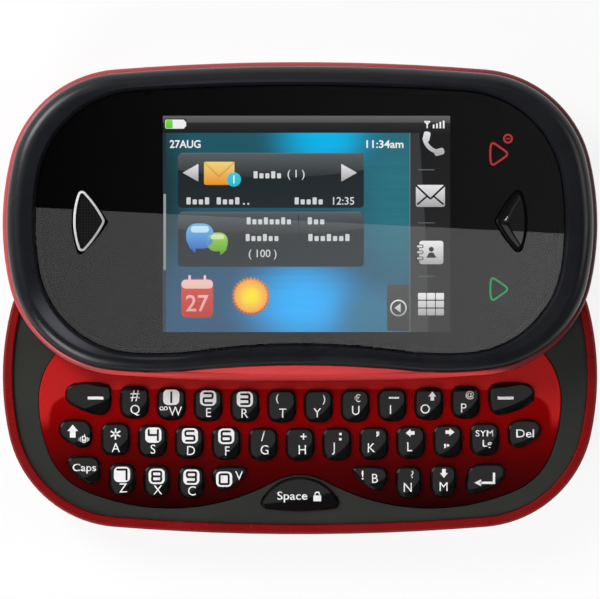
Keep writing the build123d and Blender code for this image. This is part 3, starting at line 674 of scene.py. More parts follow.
# %% Flat coats
def flat_coat(name, colour, roughness, gloss, drift_amount, drift_scale, grain_scale=None, grain_depth=0.0):
    """Ink or paint: one drifting colour, with a fine skin where it has a grain."""
    tree, shader = new_finish(name, colour, roughness, {"Specular IOR Level": gloss})
    tint(tree, shader, colour, drift_amount, drift_scale)
    if grain_scale:
        skin(tree, shader, grain_scale, grain_depth)


flat_coat("display", (0.004, 0.004, 0.005), 0.25, 0.2, 0.2, 500.0, 5000.0, 1e-6)
flat_coat("window_print", (0.0016, 0.0016, 0.0018), 0.6, 0.0, 0.15, 700.0)
flat_coat("mask_print", (0.0008, 0.0008, 0.0009), 0.7, 0.0, 0.15, 700.0)
flat_coat("legend_white", (0.83, 0.83, 0.83), 0.45, 0.3, 0.05, 900.0, 9000.0, 2e-6)
flat_coat("legend_dark", (0.004, 0.004, 0.0045), 0.4, 0.3, 0.1, 900.0, 9000.0, 2e-6)
print(len(finishes), "finishes and inks")

# %% [markdown]
# ## Put the finishes on
# Each node came in with a plain material named after its slot in the record. Its shape is right, so
# only the material is exchanged, slot by slot.

# %% Dress the nodes
slot_of = {part["node"]: part["material_slot"] for part in frame["record"]["subparts"]}
own_finish = {"slider_rim": "red_rim_painted_shading", "nav_key": "nav_black"}
for name, node in nodes.items():
    for slot in node.material_slots:
        slot.material = finishes[own_finish.get(name, slot_of[name])]
print(len(nodes), "nodes dressed")

# %% [markdown]
# ## Flat shapes
# Prints, icons and legends are all thin flat shapes. Each starts as a bmesh face from a few points
# or from Blender's own circle and grid, gets its corners rounded by a vertex bevel, and is thickened
# once it is in place. Lettering starts as a text object that is turned into a mesh at once.


# %% Flat shapes from a few points
def shape(points, corner=0.0, rounds=3):
    """One flat face through corner points, in metres, with its corners rounded."""
    sheet = bmesh.new()
    sheet.faces.new([sheet.verts.new((x, y, 0)) for x, y in points])
    if corner:
        bmesh.ops.bevel(
            sheet, geom=sheet.verts[:], offset=corner, affect="VERTICES", segments=rounds, profile=0.5,
            material=-1,
        )
    return sheet


def bar(length, width, corner=0.0, rounds=3):
    x, y = length / 2, width / 2
    return shape([(-x, -y), (x, -y), (x, y), (-x, y)], corner, rounds)


def disc(radius, sides):
    sheet = bmesh.new()
    bmesh.ops.create_circle(sheet, cap_ends=True, segments=sides, radius=radius)
    return sheet


def inset(sheet, width):
    """Gives a flat shape a border of that width, and tells the faces within it."""
    inner = sheet.faces[:]
    bmesh.ops.inset_region(sheet, faces=inner, thickness=width, use_even_offset=True, use_boundary=True)
    return inner


def outline(sheet, width):
    """Only the border of a flat shape, of that width."""
    bmesh.ops.delete(sheet, geom=inset(sheet, width), context="FACES")
    return sheet


def arc_band(radius, width, start, sweep, steps=12):
    """A flat band along an arc about the origin, with its angles in degrees."""
    sheet = bmesh.new()
    ends = [sheet.verts.new((radius + side * width / 2, 0, 0)) for side in (-1, 1)]
    edge = sheet.edges.new(ends)
    bmesh.ops.rotate(sheet, verts=ends, matrix=Matrix.Rotation(math.radians(start), 3, "Z"))
    bmesh.ops.spin(
        sheet, geom=[*ends, edge], axis=(0, 0, 1), angle=math.radians(sweep), steps=steps,
        use_merge=sweep == 360,
    )
    return sheet


def wedge(width, height, corner=0.0):
    """A triangle that points to +X."""
    return shape([(-width / 2, -height / 2), (width / 2, 0), (-width / 2, height / 2)], corner)


def arrow(length, width, head, stem):
    """An arrow that points to +Y: its head's length and its stem's width are given."""
    neck = length / 2 - head
    return shape([
        (-stem / 2, -length / 2), (stem / 2, -length / 2), (stem / 2, neck), (width / 2, neck),
        (0, length / 2), (-width / 2, neck), (-stem / 2, neck),
    ])


print("flat shapes ready")


# %% Place, cut and thicken them
def put(sheet, x, y, turn=0.0, size=1.0):
    """Turns, scales and moves a flat shape to (x, y)."""
    place = Matrix.Translation((x, y, 0)) @ Matrix.Rotation(turn, 4, "Z") @ Matrix.Scale(size, 4)
    bmesh.ops.transform(sheet, matrix=place, verts=sheet.verts[:])
    return sheet


def split(sheet, point, way, clear_outer=False, clear_inner=False):
    """Cuts a flat shape along a line through point, and can clear what lies on one side of it."""
    parts = sheet.verts[:] + sheet.edges[:] + sheet.faces[:]
    bmesh.ops.bisect_plane(
        sheet, geom=parts, plane_co=point, plane_no=way, clear_outer=clear_outer, clear_inner=clear_inner
    )


def thicken(sheet, low, high):
    """A flat shape at z = 0 becomes a closed slab from low to high."""
    grown = bmesh.ops.extrude_face_region(sheet, geom=sheet.faces[:])["geom"]
    top = [v for v in grown if isinstance(v, bmesh.types.BMVert)]
    bottom = [v for v in sheet.verts if v not in set(top)]
    bmesh.ops.translate(sheet, vec=(0, 0, high), verts=top)
    bmesh.ops.translate(sheet, vec=(0, 0, low), verts=bottom)
    bmesh.ops.recalc_face_normals(sheet, faces=sheet.faces[:])


print("flat shapes can be placed, cut and thickened")


# %% Lettering
def spans(sheet):
    """The least and the greatest x of a flat shape, then the same of y."""
    return [end(v.co[axis] for v in sheet.verts) for axis in (0, 1) for end in (min, max)]


def size_of(sheet):
    left, right, bottom, top = spans(sheet)
    return right - left, top - bottom


def lettering(text, height, bold=0.0, squeeze=1.0):
    """Flat text, centred on its own box, whose capitals are that high."""
    curve = bpy.data.curves.new("lettering", "FONT")
    curve.body = text
    curve.size = height / capital_share
    curve.offset = bold
    curve.resolution_u = 4
    carrier = bpy.data.objects.new("lettering", curve)
    bpy.context.scene.collection.objects.link(carrier)
    mesh = bpy.data.meshes.new_from_object(carrier)
    bpy.data.objects.remove(carrier)
    sheet = bmesh.new()
    sheet.from_mesh(mesh)
    bpy.data.meshes.remove(mesh)
    bmesh.ops.remove_doubles(sheet, verts=sheet.verts[:], dist=height / 500)
    left, right, bottom, top = spans(sheet)
    middle = Vector(((left + right) / 2, (bottom + top) / 2, 0))
    bmesh.ops.translate(sheet, vec=-middle, verts=sheet.verts[:])
    bmesh.ops.scale(sheet, vec=(squeeze, 1, 1), verts=sheet.verts[:])
    return sheet


def sign(text, height, bold):
    """A character scaled so that its own box is that high."""
    sheet = lettering(text, height, bold)
    return put(sheet, 0, 0, size=height / size_of(sheet)[1])


capital_share = 1.0
capital_share = size_of(lettering("H", 0.01))[1] / 0.01
print("a capital is", round(capital_share, 3), "of the letter size")


# %% From flat shapes to one piece
def as_layer(item):
    """A layer is (shape, ink number, step up). A bare shape is in the first ink and has no step."""
    return item if isinstance(item, tuple) else (item, 0, 0.0)


def print_on(name, layers, low, thickness, inks, body):
    """Joins flat shapes into one piece on a body. inks are names of finishes."""
    whole = bmesh.new()
    for sheet, ink, step in map(as_layer, layers):
        thicken(sheet, low + step, low + step + thickness)
        for face in sheet.faces:
            face.material_index = ink
        carrier = bpy.data.meshes.new("layer")
        sheet.to_mesh(carrier)
        sheet.free()
        whole.from_mesh(carrier)
        bpy.data.meshes.remove(carrier)
    piece = to_object(name, whole, *(finishes[ink] for ink in inks))
    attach(piece, body)


print("prints can be joined")

# %% [markdown]
# ## Print behind the window
# The window is black because its back is printed black, apart from a clear opening for the display.
# The print has exactly the window's outline and its two holes, so the safest way is to take a copy of
# the window's own mesh, keep its underside, and cut the opening with a run of bisecting planes.


# %% Black print
same_place = 1e-7
tiny = 1e-6
opening_sides = 16


def flat_side(node, end=min):
    """The faces of a slab's underside, or of its top with max, as a flat bmesh that faces up."""
    sheet = bmesh.new()
    sheet.from_mesh(nodes[node].data)
    bmesh.ops.remove_doubles(sheet, verts=sheet.verts[:], dist=same_place)
    level = end(v.co.z for v in sheet.verts)
    others = [f for f in sheet.faces if any(abs(v.co.z - level) > tiny for v in f.verts)]
    bmesh.ops.delete(sheet, geom=others, context="FACES")
    raise_by(sheet, -level)
    if end is min:
        bmesh.ops.reverse_faces(sheet, faces=sheet.faces[:])
    return sheet


def is_inside(point, cuts):
    """Says whether a point lies on the inner side of every cut."""
    return all((point - edge).dot(way) < 0 for edge, way in cuts)


def cut_opening(sheet, left, right, bottom, top, corner):
    """Cuts a rounded rectangle out of a flat mesh, with one bisecting plane for each of its sides."""
    middle_x, middle_y = (left + right) / 2, (bottom + top) / 2
    half_x, half_y = (right - left) / 2, (top - bottom) / 2
    cuts = []
    for step in range(opening_sides):
        angle = math.radians(360 / opening_sides * step)
        way = Vector((math.cos(angle), math.sin(angle), 0))
        reach_x = math.copysign(half_x - corner, way.x) if abs(way.x) > tiny else 0
        reach_y = math.copysign(half_y - corner, way.y) if abs(way.y) > tiny else 0
        point = Vector((middle_x + reach_x, middle_y + reach_y, 0)) + way * corner
        cuts.append((point, way))
        split(sheet, point, way)
    inside = [f for f in sheet.faces if is_inside(f.calc_center_median(), cuts)]
    bmesh.ops.delete(sheet, geom=inside, context="FACES")


picture_left, picture_right = -23.37 * mm, 25.59 * mm
picture_bottom, picture_top = 7.54 * mm, 44.39 * mm
opening_left, opening_right = -28.66 * mm, 26.95 * mm
opening_bottom, opening_top = 7.20 * mm, 45.75 * mm
opening_corner, picture_corner = 1.6 * mm, 0.1 * mm
coat = 0.025 * mm
first_coat = window_low.z - 0.055 * mm
second_coat = first_coat - coat
sheet = flat_side("front_window")
cut_opening(sheet, opening_left, opening_right, opening_bottom, opening_top, opening_corner)
print_on("window_print", [sheet], first_coat, coat, ["window_print"], "slider")

lap = 0.6 * mm
sheet = bar(opening_right - opening_left + 2 * lap, opening_top - opening_bottom + 2 * lap)
put(sheet, (opening_left + opening_right) / 2, (opening_bottom + opening_top) / 2)
cut_opening(sheet, picture_left, picture_right, picture_bottom, picture_top, picture_corner)
print_on("window_mask", [sheet], second_coat, coat, ["mask_print"], "slider")
print("two coats behind the window")

# %% [markdown]
# ## Three small mouldings
# Where the frame's lower edge rises in the middle, a red lip closes the space between it and the
# rim: at each place along it, one ray finds the frame's wall and a second one finds the rim's. The
# lip's brighter red is painted light. A thin pale line edges the tray; it is a painted highlight,
# palest at the left. The select key carries a raised face with sloping sides.

# %% Red lip
walls = {}
for name in ("front_bezel", "slider_rim"):
    solid = bmesh.new()
    solid.from_mesh(nodes[name].data)
    walls[name] = BVHTree.FromBMesh(solid)
    solid.free()
rim_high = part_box("slider_rim")[1].z
lip_foot = rim_high - 0.88 * mm
lip_gap = 0.01 * mm
lip_rise_share = 0.55
lip_step, lip_steps = 0.45 * mm, 60
before_rim = -10 * mm
above_rim, below_rim = rim_high + 0.3 * mm, rim_high - 0.4 * mm
lip = bmesh.new()
sections = []
for step in range(-lip_steps, lip_steps + 1):
    start = Vector((step * lip_step, before_rim, above_rim))
    frame_hit = walls["front_bezel"].ray_cast(start, Vector((0, 1, 0)))[0]
    start = Vector((start.x, frame_hit.y, below_rim))
    rim_hit, facing = walls["slider_rim"].ray_cast(start, Vector((0, -1, 0)))[:2]
    near, far = rim_hit.y + lip_gap, frame_hit.y - lip_gap
    if facing.y > 0 and far > near:
        ridge = rim_high + lip_rise_share * (far - near)
        corners = [(near, lip_foot), (near, rim_high), (far, ridge), (far, lip_foot)]
        sections.append([lip.verts.new((step * lip_step, y, z)) for y, z in corners])
for one, other in zip(sections, sections[1:]):
    for k in range(4):
        lip.faces.new((one[k], one[k - 1], other[k - 1], other[k]))
lip.faces.new(sections[0])
lip.faces.new(reversed(sections[-1]))
bmesh.ops.recalc_face_normals(lip, faces=lip.faces[:])
piece = to_object("rim_lip", lip, finishes["red_lip_painted_light"])
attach(piece, "slider")
print(len(sections), "sections in the lip")


# %% Tray line and the select key's face
def hull_of(node):
    """The outline of a node's top, as points in order."""
    top = flat_side(node, max)
    spots = [(v.co.x, v.co.y) for v in top.verts]
    top.free()
    return [spots[k] for k in convex_hull_2d(spots)]


above_skin = 0.004 * mm
ink_depth = 0.02 * mm
# The tray's edge line is a painted highlight: pale at the left where the light falls, dim at the right.
highlight_pale_left = (0.62, 0.34, 0.32, 1)
highlight_dim_right = (0.16, 0.05, 0.05, 1)
tray_right = 48 * mm
line_width = 0.17 * mm
tree, shader = new_finish("tray_highlight_line", (0.62, 0.36, 0.34), 0.35)
painted_highlight_fade = use(tree, fade, Low=0.0, High=tray_right, Axis=(1, 0, 0), Below=highlight_pale_left, Above=highlight_dim_right)
feed(tree, shader.inputs["Base Color"], painted_highlight_fade["Colour"])
highlight_strip = outline(shape(hull_of("keypad_tray")), line_width)
line_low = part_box("keypad_tray")[1].z + above_skin
print_on("tray_highlight_line", [highlight_strip], line_low, ink_depth, ["tray_highlight_line"], "base")

key_outline = [Vector((*spot, 0)) for spot in hull_of("nav_key")]
nav_low, nav_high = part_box("nav_key")
pivot_inward = 1.0 * mm
pivot = Vector((nav_high.x - pivot_inward, (nav_low.y + nav_high.y) / 2, 0))
face_profile = (
    ((0.92, 0.94, 1), 0.0), ((0.84, 0.91, 1), 0.15), ((0.70, 0.86, 1), 0.41), ((0.62, 0.82, 1), 0.48)
)
raised = bmesh.new()
rings = []
for shares, height in face_profile:
    lift = Vector((0, 0, height * mm))
    spots = [pivot + Vector([a * b for a, b in zip(point - pivot, shares)]) + lift for point in key_outline]
    rings.append([raised.verts.new(spot) for spot in spots])
for low_ring, high_ring in zip(rings, rings[1:]):
    for k in range(len(key_outline)):
        raised.faces.new((low_ring[k - 1], low_ring[k], high_ring[k], high_ring[k - 1]))
raised.faces.new(rings[-1])
face_top = [vert.co.xy for vert in rings[-1]]
print_on("nav_face", [raised], nav_high.z + above_skin, ink_depth, ["nav_black"], "nav_key")
print(len(rings), "rings in the select key's face")

# %% [markdown]
# ## Springs and ribbon across the slide
# Two springs and a ribbon join the sliding half to the other one, so each follows the base at one end
# and the slider at the other. Copies of their own meshes stand for them, a spring by its half of the
# node, and the nodes themselves are hidden.


# %% Springs and ribbon
def across_slide(name, node, side=0):
    """A copy of a node's mesh, or of its half on one side, that stands in for the node, which is hidden."""
    mesh = nodes[node].data.copy()
    sheet = bmesh.new()
    sheet.from_mesh(mesh)
    bmesh.ops.delete(sheet, geom=[v for v in sheet.verts if v.co.x * side < 0], context="VERTS")
    sheet.to_mesh(mesh)
    sheet.free()
    piece = bpy.data.objects.new(name, mesh)
    bpy.context.scene.collection.objects.link(piece)
    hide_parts(node)
    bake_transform(piece)


for name, side in (("spring_left", -1), ("spring_right", 1)):
    across_slide(name, "slide_springs", side)
across_slide("ribbon", "flex_cable")

# %% [markdown]
# ## Inks that glow
# A display shines by itself, so its picture is made of glowing inks, and so are the two call marks,
# which a small lamp lights from behind. Three groups serve them: *pixel grid* breaks an ink up into
# the display's dots, *piece fade* runs a colour from the foot of a piece to its head, whatever the
# piece's size, and *soft spot*, made above, lets a patch of colour bloom in the wallpaper.


# %% Pixel grid, piece fade and glowing ink
pixels, ins, outs = new_group(
    "pixel grid",
    [("Colour", "Color", (1, 1, 1, 1)), ("Pitch", "Float", 0.15 * mm), ("Depth", "Float", 0.12)],
    [("Colour", "Color")],
)
place = axes_of(pixels, here(pixels))
cells = [maths(pixels, "FRACT", maths(pixels, "DIVIDE", place[axis], ins["Pitch"])) for axis in ("X", "Y")]
edge = rescale(pixels, maths(pixels, "MINIMUM", *cells), 0.05, 0.2, ins["Depth"], 0.0)
lit = maths(pixels, "SUBTRACT", 1.0, edge)
feed(pixels, outs["Colour"], vector_maths(pixels, "MULTIPLY", ins["Colour"], lit))

rise, ins, outs = new_group(
    "piece fade",
    [("Below", "Color", (0, 0, 0, 1)), ("Above", "Color", (1, 1, 1, 1))],
    [("Colour", "Color")],
)
height = axes_of(rise, here(rise, "Generated"))["Y"]
feed(rise, outs["Colour"], blend_colours(rise, height, ins["Below"], ins["Above"]))


def shining(name, strength):
    """A dark ink that shines by itself, in a colour still to be fed to it."""
    settings = {"Specular IOR Level": 0.0, "Emission Strength": strength}
    return new_finish(name, (0.004, 0.004, 0.004), 0.4, settings)


def shine(tree, shader, colour):
    feed(tree, shader.inputs["Emission Color"], use(tree, pixels, Colour=colour)["Colour"])


def glowing_ink(name, below, above):
    """An ink that shines in one colour at the foot of its piece and another at the head."""
    tree, shader = shining(name, 1.0)
    shine(tree, shader, use(tree, rise, Below=(*below, 1), Above=(*above, 1))["Colour"])


print("eleven groups in all")

# %% Wallpaper
# Each bloom of the wallpaper is a place, how far it reaches, both in millimetres, and a colour.
wallpaper_blooms = [
    ((4.5, 40.8), (13.5, 9.5), (0.0, 0.47, 0.85, 1)),
    ((0.5, 12.5), (15.5, 11.5), (0.015, 0.42, 0.95, 1)),
    ((16.5, 31.0), (12.0, 26.0), (0.022, 0.165, 0.22, 1)),
    ((13.0, 10.5), (10.0, 8.0), (0.035, 0.18, 0.29, 1)),
    ((-24.0, 31.0), (7.0, 22.0), (0.010, 0.036, 0.042, 1)),
]
wallpaper_foot = (0.028, 0.095, 0.185, 1)
wallpaper_head = (0.014, 0.095, 0.130, 1)
picture_glow = 1.05
tree, shader = shining("wallpaper", picture_glow)
fade_low, fade_high = 14.0 * mm, 34.0 * mm
paint = use(tree, fade, Low=fade_low, High=fade_high, Below=wallpaper_foot, Above=wallpaper_head)["Colour"]
for (x, y), (reach_x, reach_y), bloom in wallpaper_blooms:
    mask = use(tree, spot, Centre=(x * mm, y * mm, display_high.z), Reach=(reach_x * mm, reach_y * mm, 1.0))
    paint = blend_colours(tree, mask["Mask"], paint, bloom)
brushed = rescale(tree, use(tree, lines, Scale=1800.0)["Height"], 0.3, 0.7, 0.93, 1.07)
shine(tree, shader, vector_maths(tree, "MULTIPLY", paint, brushed))
print(len(wallpaper_blooms), "blooms in the wallpaper")

# %% Inks of the picture
for name, below, above in (
    ("status_ink", (0.009, 0.012, 0.013), (0.034, 0.034, 0.034)),
    ("status_gloss", (0.085, 0.085, 0.085), (0.135, 0.135, 0.135)),
    ("white_ink", (0.90, 0.90, 0.90), (0.97, 0.97, 0.97)),
    ("charge_ink", (0.10, 0.62, 0.02), (0.22, 0.75, 0.08)),
    ("line_ink", (0.13, 0.15, 0.16), (0.16, 0.21, 0.23)),
    ("side_ink", (0.052, 0.052, 0.054), (0.036, 0.038, 0.040)),
    ("side_dark", (0.020, 0.020, 0.021), (0.008, 0.008, 0.009)),
    ("track_ink", (0.035, 0.045, 0.055), (0.018, 0.028, 0.034)),
    ("thumb_ink", (0.26, 0.28, 0.29), (0.36, 0.37, 0.38)),
    ("panel_ink", (0.018, 0.026, 0.031), (0.012, 0.018, 0.020)),
    ("panel_gloss", (0.026, 0.031, 0.034), (0.105, 0.120, 0.128)),
    ("panel_line", (0.16, 0.17, 0.18), (0.17, 0.18, 0.19)),
    ("word_ink", (0.62, 0.63, 0.64), (0.74, 0.75, 0.76)),
    ("silver_ink", (0.40, 0.40, 0.41), (0.86, 0.86, 0.87)),
    ("letter_ink", (0.90, 0.30, 0.012), (0.96, 0.72, 0.22)),
    ("fold_ink", (0.62, 0.22, 0.02), (0.80, 0.48, 0.12)),
    ("badge_ink", (0.02, 0.52, 0.66), (0.05, 0.66, 0.78)),
    ("blue_ink", (0.020, 0.10, 0.52), (0.16, 0.52, 0.86)),
    ("green_ink", (0.07, 0.36, 0.01), (0.40, 0.66, 0.10)),
    ("blue_shine", (0.30, 0.62, 0.86), (0.62, 0.86, 0.95)),
    ("green_shine", (0.45, 0.68, 0.18), (0.70, 0.84, 0.45)),
    ("tile_ink", (0.52, 0.045, 0.035), (0.72, 0.10, 0.08)),
    ("tile_band", (0.80, 0.34, 0.30), (0.92, 0.62, 0.58)),
    ("sun_rim", (0.50, 0.10, 0.01), (0.66, 0.22, 0.04)),
    ("tab_ink", (0.046, 0.046, 0.047), (0.072, 0.072, 0.074)),
    ("dark_mark", (0.010, 0.010, 0.010), (0.014, 0.014, 0.014)),
    ("end_ink", (0.44, 0.028, 0.034), (0.50, 0.036, 0.042)),
    ("send_ink", (0.0, 0.27, 0.075), (0.0, 0.29, 0.085)),
):
    glowing_ink(name, below, above)
print(len(finishes), "finishes and inks")

# %% [markdown]
# ## The picture on the display
# The picture is a stack of slabs a hundredth of a millimetre thick: wallpaper, then bars and panels,
# then icons, then marks on the icons. Places in it are given as a screen designer would, to the
# right of and down from its upper left corner, and *tile* makes the bars that most of it is built
# from. The words on such a screen are only grey strokes at this size, so they become rows of plain
# blocks; dates and numerals stay.


# %% Places and layers
picture_floor = display_high.z + 0.004 * mm
layer = 0.009 * mm
layer_step = 0.012 * mm


def at(sheet, right, down, turn=0.0):
    """Puts a flat shape at a place on the picture, in millimetres from its upper left corner."""
    return put(sheet, picture_left + right * mm, picture_top - down * mm, turn)


def tile(length, width, right, down, level, ink=0, corner=0.0, rounds=3, turn=0.0):
    """A bar on the picture, in millimetres and degrees, as (flat shape, ink number, level)."""
    sheet = bar(length * mm, width * mm, corner * mm, rounds)
    return at(sheet, right, down, math.radians(turn)), ink, level


def on_screen(name, shapes, *inks):
    """A piece of the picture. shapes are (flat shape, ink number, level)."""
    layers = [(sheet, ink, level * layer_step) for sheet, ink, level in shapes]
    print_on(name, layers, picture_floor, layer, inks, "slider")


capital_block, small_block = 1.2, 0.85


def blocks(count, right, down, pitch):
    """A word as a row of small blocks, the first and every third of them as tall as a capital."""
    row = []
    for number in range(count):
        tall = capital_block if number % 3 == 0 else small_block
        x = right + (number - (count - 1) / 2) * pitch
        row.append(tile(pitch * 0.68, tall, x, down + (capital_block - tall) / 2, 3, corner=0.12))
    return row


def picture_shape(places):
    """A flat shape through places on the picture."""
    return shape([(picture_left + right * mm, picture_top - down * mm) for right, down in places])


picture_width = (picture_right - picture_left) / mm
picture_height = (picture_top - picture_bottom) / mm
print("picture", round(picture_width, 2), "x", round(picture_height, 2), "mm")


# %% Wallpaper and status bar
def head_band(height, level):
    """A bar over the picture's whole width, from its upper edge down."""
    return tile(picture_width, height, picture_width / 2, height / 2, level)


status_height, status_gloss_height = 2.9, 1.15
battery_down = 1.42
on_screen("wallpaper", [head_band(picture_height, 0)], "wallpaper")
on_screen("status_bar", [head_band(status_height, 1)], "status_ink")
on_screen("status_bar_gloss", [head_band(status_gloss_height, 2)], "status_gloss")
on_screen("battery_sign", [
    tile(3.85, 1.9, 2.15, battery_down, 3, corner=0.3),
    tile(3.35, 1.55, 2.05, battery_down, 4, 1, 0.25),
    tile(0.30, 0.9, 3.80, battery_down, 4, 1, 0.1),
    tile(1.20, 1.45, 1.05, battery_down, 5, 2, 0.2),
], "status_ink", "white_ink", "charge_ink")

mast_right, mast_arm = 45.05, 48
signal = [
    tile(0.30, tall, 46.15 + 0.57 * number, 2.13 - tall / 2, 4)
    for number, tall in enumerate((0.65, 0.85, 1.10, 1.32))
]
signal += [tile(0.22, 1.25, mast_right, 1.50, 4), tile(0.95, 0.18, mast_right, 0.95, 4)]
signal += [tile(0.72, 0.17, mast_right + 0.24 * side, 1.22, 4, turn=side * mast_arm) for side in (-1, 1)]
on_screen("signal_sign", signal, "white_ink")
print("status bar laid")

# %% Side bar and scroll bar
side_left = 42.1
side_width = picture_width - side_left
side_height = picture_height - status_height


def upright(width, right, level):
    """A bar from the status bar down to the picture's foot."""
    return tile(width, side_height, right, status_height + side_height / 2, level)


on_screen("side_bar", [upright(side_width, side_left + side_width / 2, 1)], "side_ink")
shade_left = side_left + 1.6
shade_bulge = 1.5
dark_zone = [(picture_width, picture_height), (picture_width, status_height), (shade_left, status_height)]
for step in range(1, 11):
    bulge = shade_bulge * math.sin(math.radians(9 * step))
    dark_zone.append((shade_left + bulge, status_height + side_height * step / 10))
on_screen("side_bar_shade", [(picture_shape(dark_zone), 0, 2)], "side_dark")
on_screen("side_line", [upright(0.16, side_left, 3)], "line_ink")
on_screen("separators", [tile(2.8, 0.12, 44.9, down, 3) for down in (9.2, 18.25, 27.36)], "line_ink")
on_screen("scroll_track", [upright(0.45, 0.30, 1)], "track_ink")
on_screen("scroll_thumb", [tile(0.42, 12.95, 0.31, 19.8, 2)], "thumb_ink")
print("bars laid")


# %% Clock, panels and their words
def screen_text(text, right, down, bold=0.015, squeeze=1.0, ink=0, level=3, height=1.25):
    """Lettering on the picture, in millimetres, as (flat shape, ink number, level)."""
    return at(lettering(text, height * mm, bold * mm, squeeze), right, down), ink, level


on_screen("date", [screen_text("27AUG", 3.80, 4.82, 0.035, 0.94)], "white_ink")
on_screen("clock", [screen_text("11:34am", 37.85, 4.82, 0.035, 1.08)], "white_ink")

panel_width, panel_height, panel_corner = 31.7, 9.35, 0.65
panel_middle = 18.4
gloss_depth, gloss_corner, gloss_steps = 2.9, 0.5, 12


def panel(name, down, gloss_sag):
    """A dark rounded plate with a lighter gloss over its upper part, whose lower edge sags."""
    top = down - panel_height / 2
    plate = tile(panel_width, panel_height, panel_middle, down, 1, corner=panel_corner)
    on_screen(name, [plate], "panel_ink")
    left = panel_middle - panel_width / 2
    right = left + panel_width
    gloss = [(right - gloss_corner, top), (left + gloss_corner, top), (left, top + gloss_corner)]
    for step in range(gloss_steps + 1):
        share = step / gloss_steps
        sag = gloss_sag * (1 - (2 * share - 1) ** 2)
        gloss.append((left + panel_width * share, top + gloss_depth + sag))
    gloss.append((right, top + gloss_corner))
    on_screen(name + "_gloss", [(picture_shape(gloss), 0, 2)], "panel_gloss")
    on_screen(name + "_edge", [tile(panel_width - 1.2, 0.12, panel_middle, top + 0.06, 3)], "panel_line")


panel("mail_panel", 11.0, 1.35)
panel("people_panel", 21.05, 0.9)
on_screen("panel_divider", [tile(0.12, 8.6, 23.1, 21.2, 3)], "panel_ink")

words = []
for count, right, down, pitch in (
    (5, 17.8, 10.05, 1.0), (4, 5.95, 14.5, 1.05), (4, 11.1, 14.5, 1.05), (5, 24.85, 14.5, 1.02),
    (8, 18.05, 17.9, 0.98), (6, 16.9, 20.75, 0.98), (3, 26.1, 17.9, 1.05), (7, 28.3, 20.75, 1.05),
):
    words += blocks(count, right, down, pitch)
words += [tile(0.3, 0.3, 13.8 + 0.75 * dot, 15.0, 3) for dot in range(2)]
for text, right, down in (("( 1 )", 22.7, 10.05), ("12:35", 30.8, 14.5), ("( 100 )", 17.0, 23.65)):
    words.append(screen_text(text, right, down))
on_screen("panel_words", words, "word_ink")
print("panels and words")


# %% Arrows, letter and speech bubbles
def pointer(right, down, width, height, corner=0.0, turn=0.0):
    """A triangle on the picture, in millimetres and degrees."""
    return at(wedge(width * mm, height * mm, corner * mm), right, down, math.radians(turn)), 0, 3


on_screen("arrow_left", [pointer(4.7, 9.7, 2.7, 3.05, 0.12, 180)], "silver_ink")
on_screen("arrow_right", [pointer(31.75, 9.7, 2.7, 3.05, 0.12)], "silver_ink")


flap_share = 0.62


def envelope(right, down, width, height, stroke):
    """A letter: a rounded plate with the two folds of its flap."""
    drop = height * flap_share
    flap = math.degrees(math.atan2(drop, width / 2))
    run = math.hypot(drop, width / 2)
    parts = [tile(width, height, right, down, 3, corner=0.35)]
    for side in (-1, 1):
        x = right + side * width / 4
        parts.append(tile(run, stroke, x, down - height * 0.17, 4 + (side > 0), 1, turn=side * flap))
    return parts


on_screen("mail_icon", envelope(9.6, 9.8, 5.2, 3.95, 0.22), "letter_ink", "fold_ink")
badge_right, badge_down = 12.1, 10.85
on_screen("mail_badge", [
    (at(disc(1.22 * mm, 24), badge_right, badge_down), 0, 4),
    screen_text("1", badge_right, badge_down, 0.03, ink=1, level=5, height=1.3),
], "badge_ink", "white_ink")


def bubble(colour, right, down, width, height, tail):
    """A speech bubble with a tail to one side and a pale shine over its head."""
    foot = at(
        wedge(1.5 * mm, 1.3 * mm), right + tail * width * 0.22, down + height * 0.52,
        math.radians(-90 - 25 * tail),
    )
    body = tile(width, height, right, down, 4, corner=0.42 * height, rounds=6)
    gleam = tile(width * 0.66, height * 0.26, right, down - height * 0.27, 5, 1, 0.12 * height, 4)
    on_screen("bubble_" + colour, [(foot, 0, 3), body, gleam], colour + "_ink", colour + "_shine")


bubble("green", 9.3, 21.5, 3.5, 3.2, 1)
bubble("blue", 6.3, 20.5, 4.7, 4.3, -1)
print("panel icons")

# %% Day tile, sun and back tab
on_screen("day_tile", [
    tile(5.4, 6.6, 5.85, 31.1, 3, 0, 0.9, 4),
    tile(5.4, 1.5, 5.85, 28.7, 4, 1, 0.7, 4),
    screen_text("27", 5.85, 31.95, 0.04, ink=1, level=4, height=2.7),
    tile(0.42, 1.5, 4.55, 27.9, 5, 1, 0.18),
    tile(0.42, 1.5, 7.15, 27.9, 5, 1, 0.18),
], "tile_ink", "tile_band")

sun_right, sun_down, sun_teeth = 15.0, 30.75, 30
sun_reach = (3.4 * mm, 3.4 * mm, 1.0)
sun_edge = (0.90, 0.36, 0.08, 1)
sun_heart = (1.0, 0.78, 0.03, 1)
sun_middle = (picture_left + sun_right * mm, picture_top - sun_down * mm, display_high.z)
tree, shader = shining("sun_ink", picture_glow)
warm = use(tree, spot, Centre=sun_middle, Reach=sun_reach)
shine(tree, shader, blend_colours(tree, warm["Mask"], sun_edge, sun_heart))


def sun_disc(radius, tooth):
    """A disc whose edge has small teeth."""
    edge = []
    for step in range(2 * sun_teeth):
        reach = radius + tooth * (step % 2)
        angle = math.pi * step / sun_teeth
        edge.append((reach * math.cos(angle) * mm, reach * math.sin(angle) * mm))
    return at(shape(edge), sun_right, sun_down)


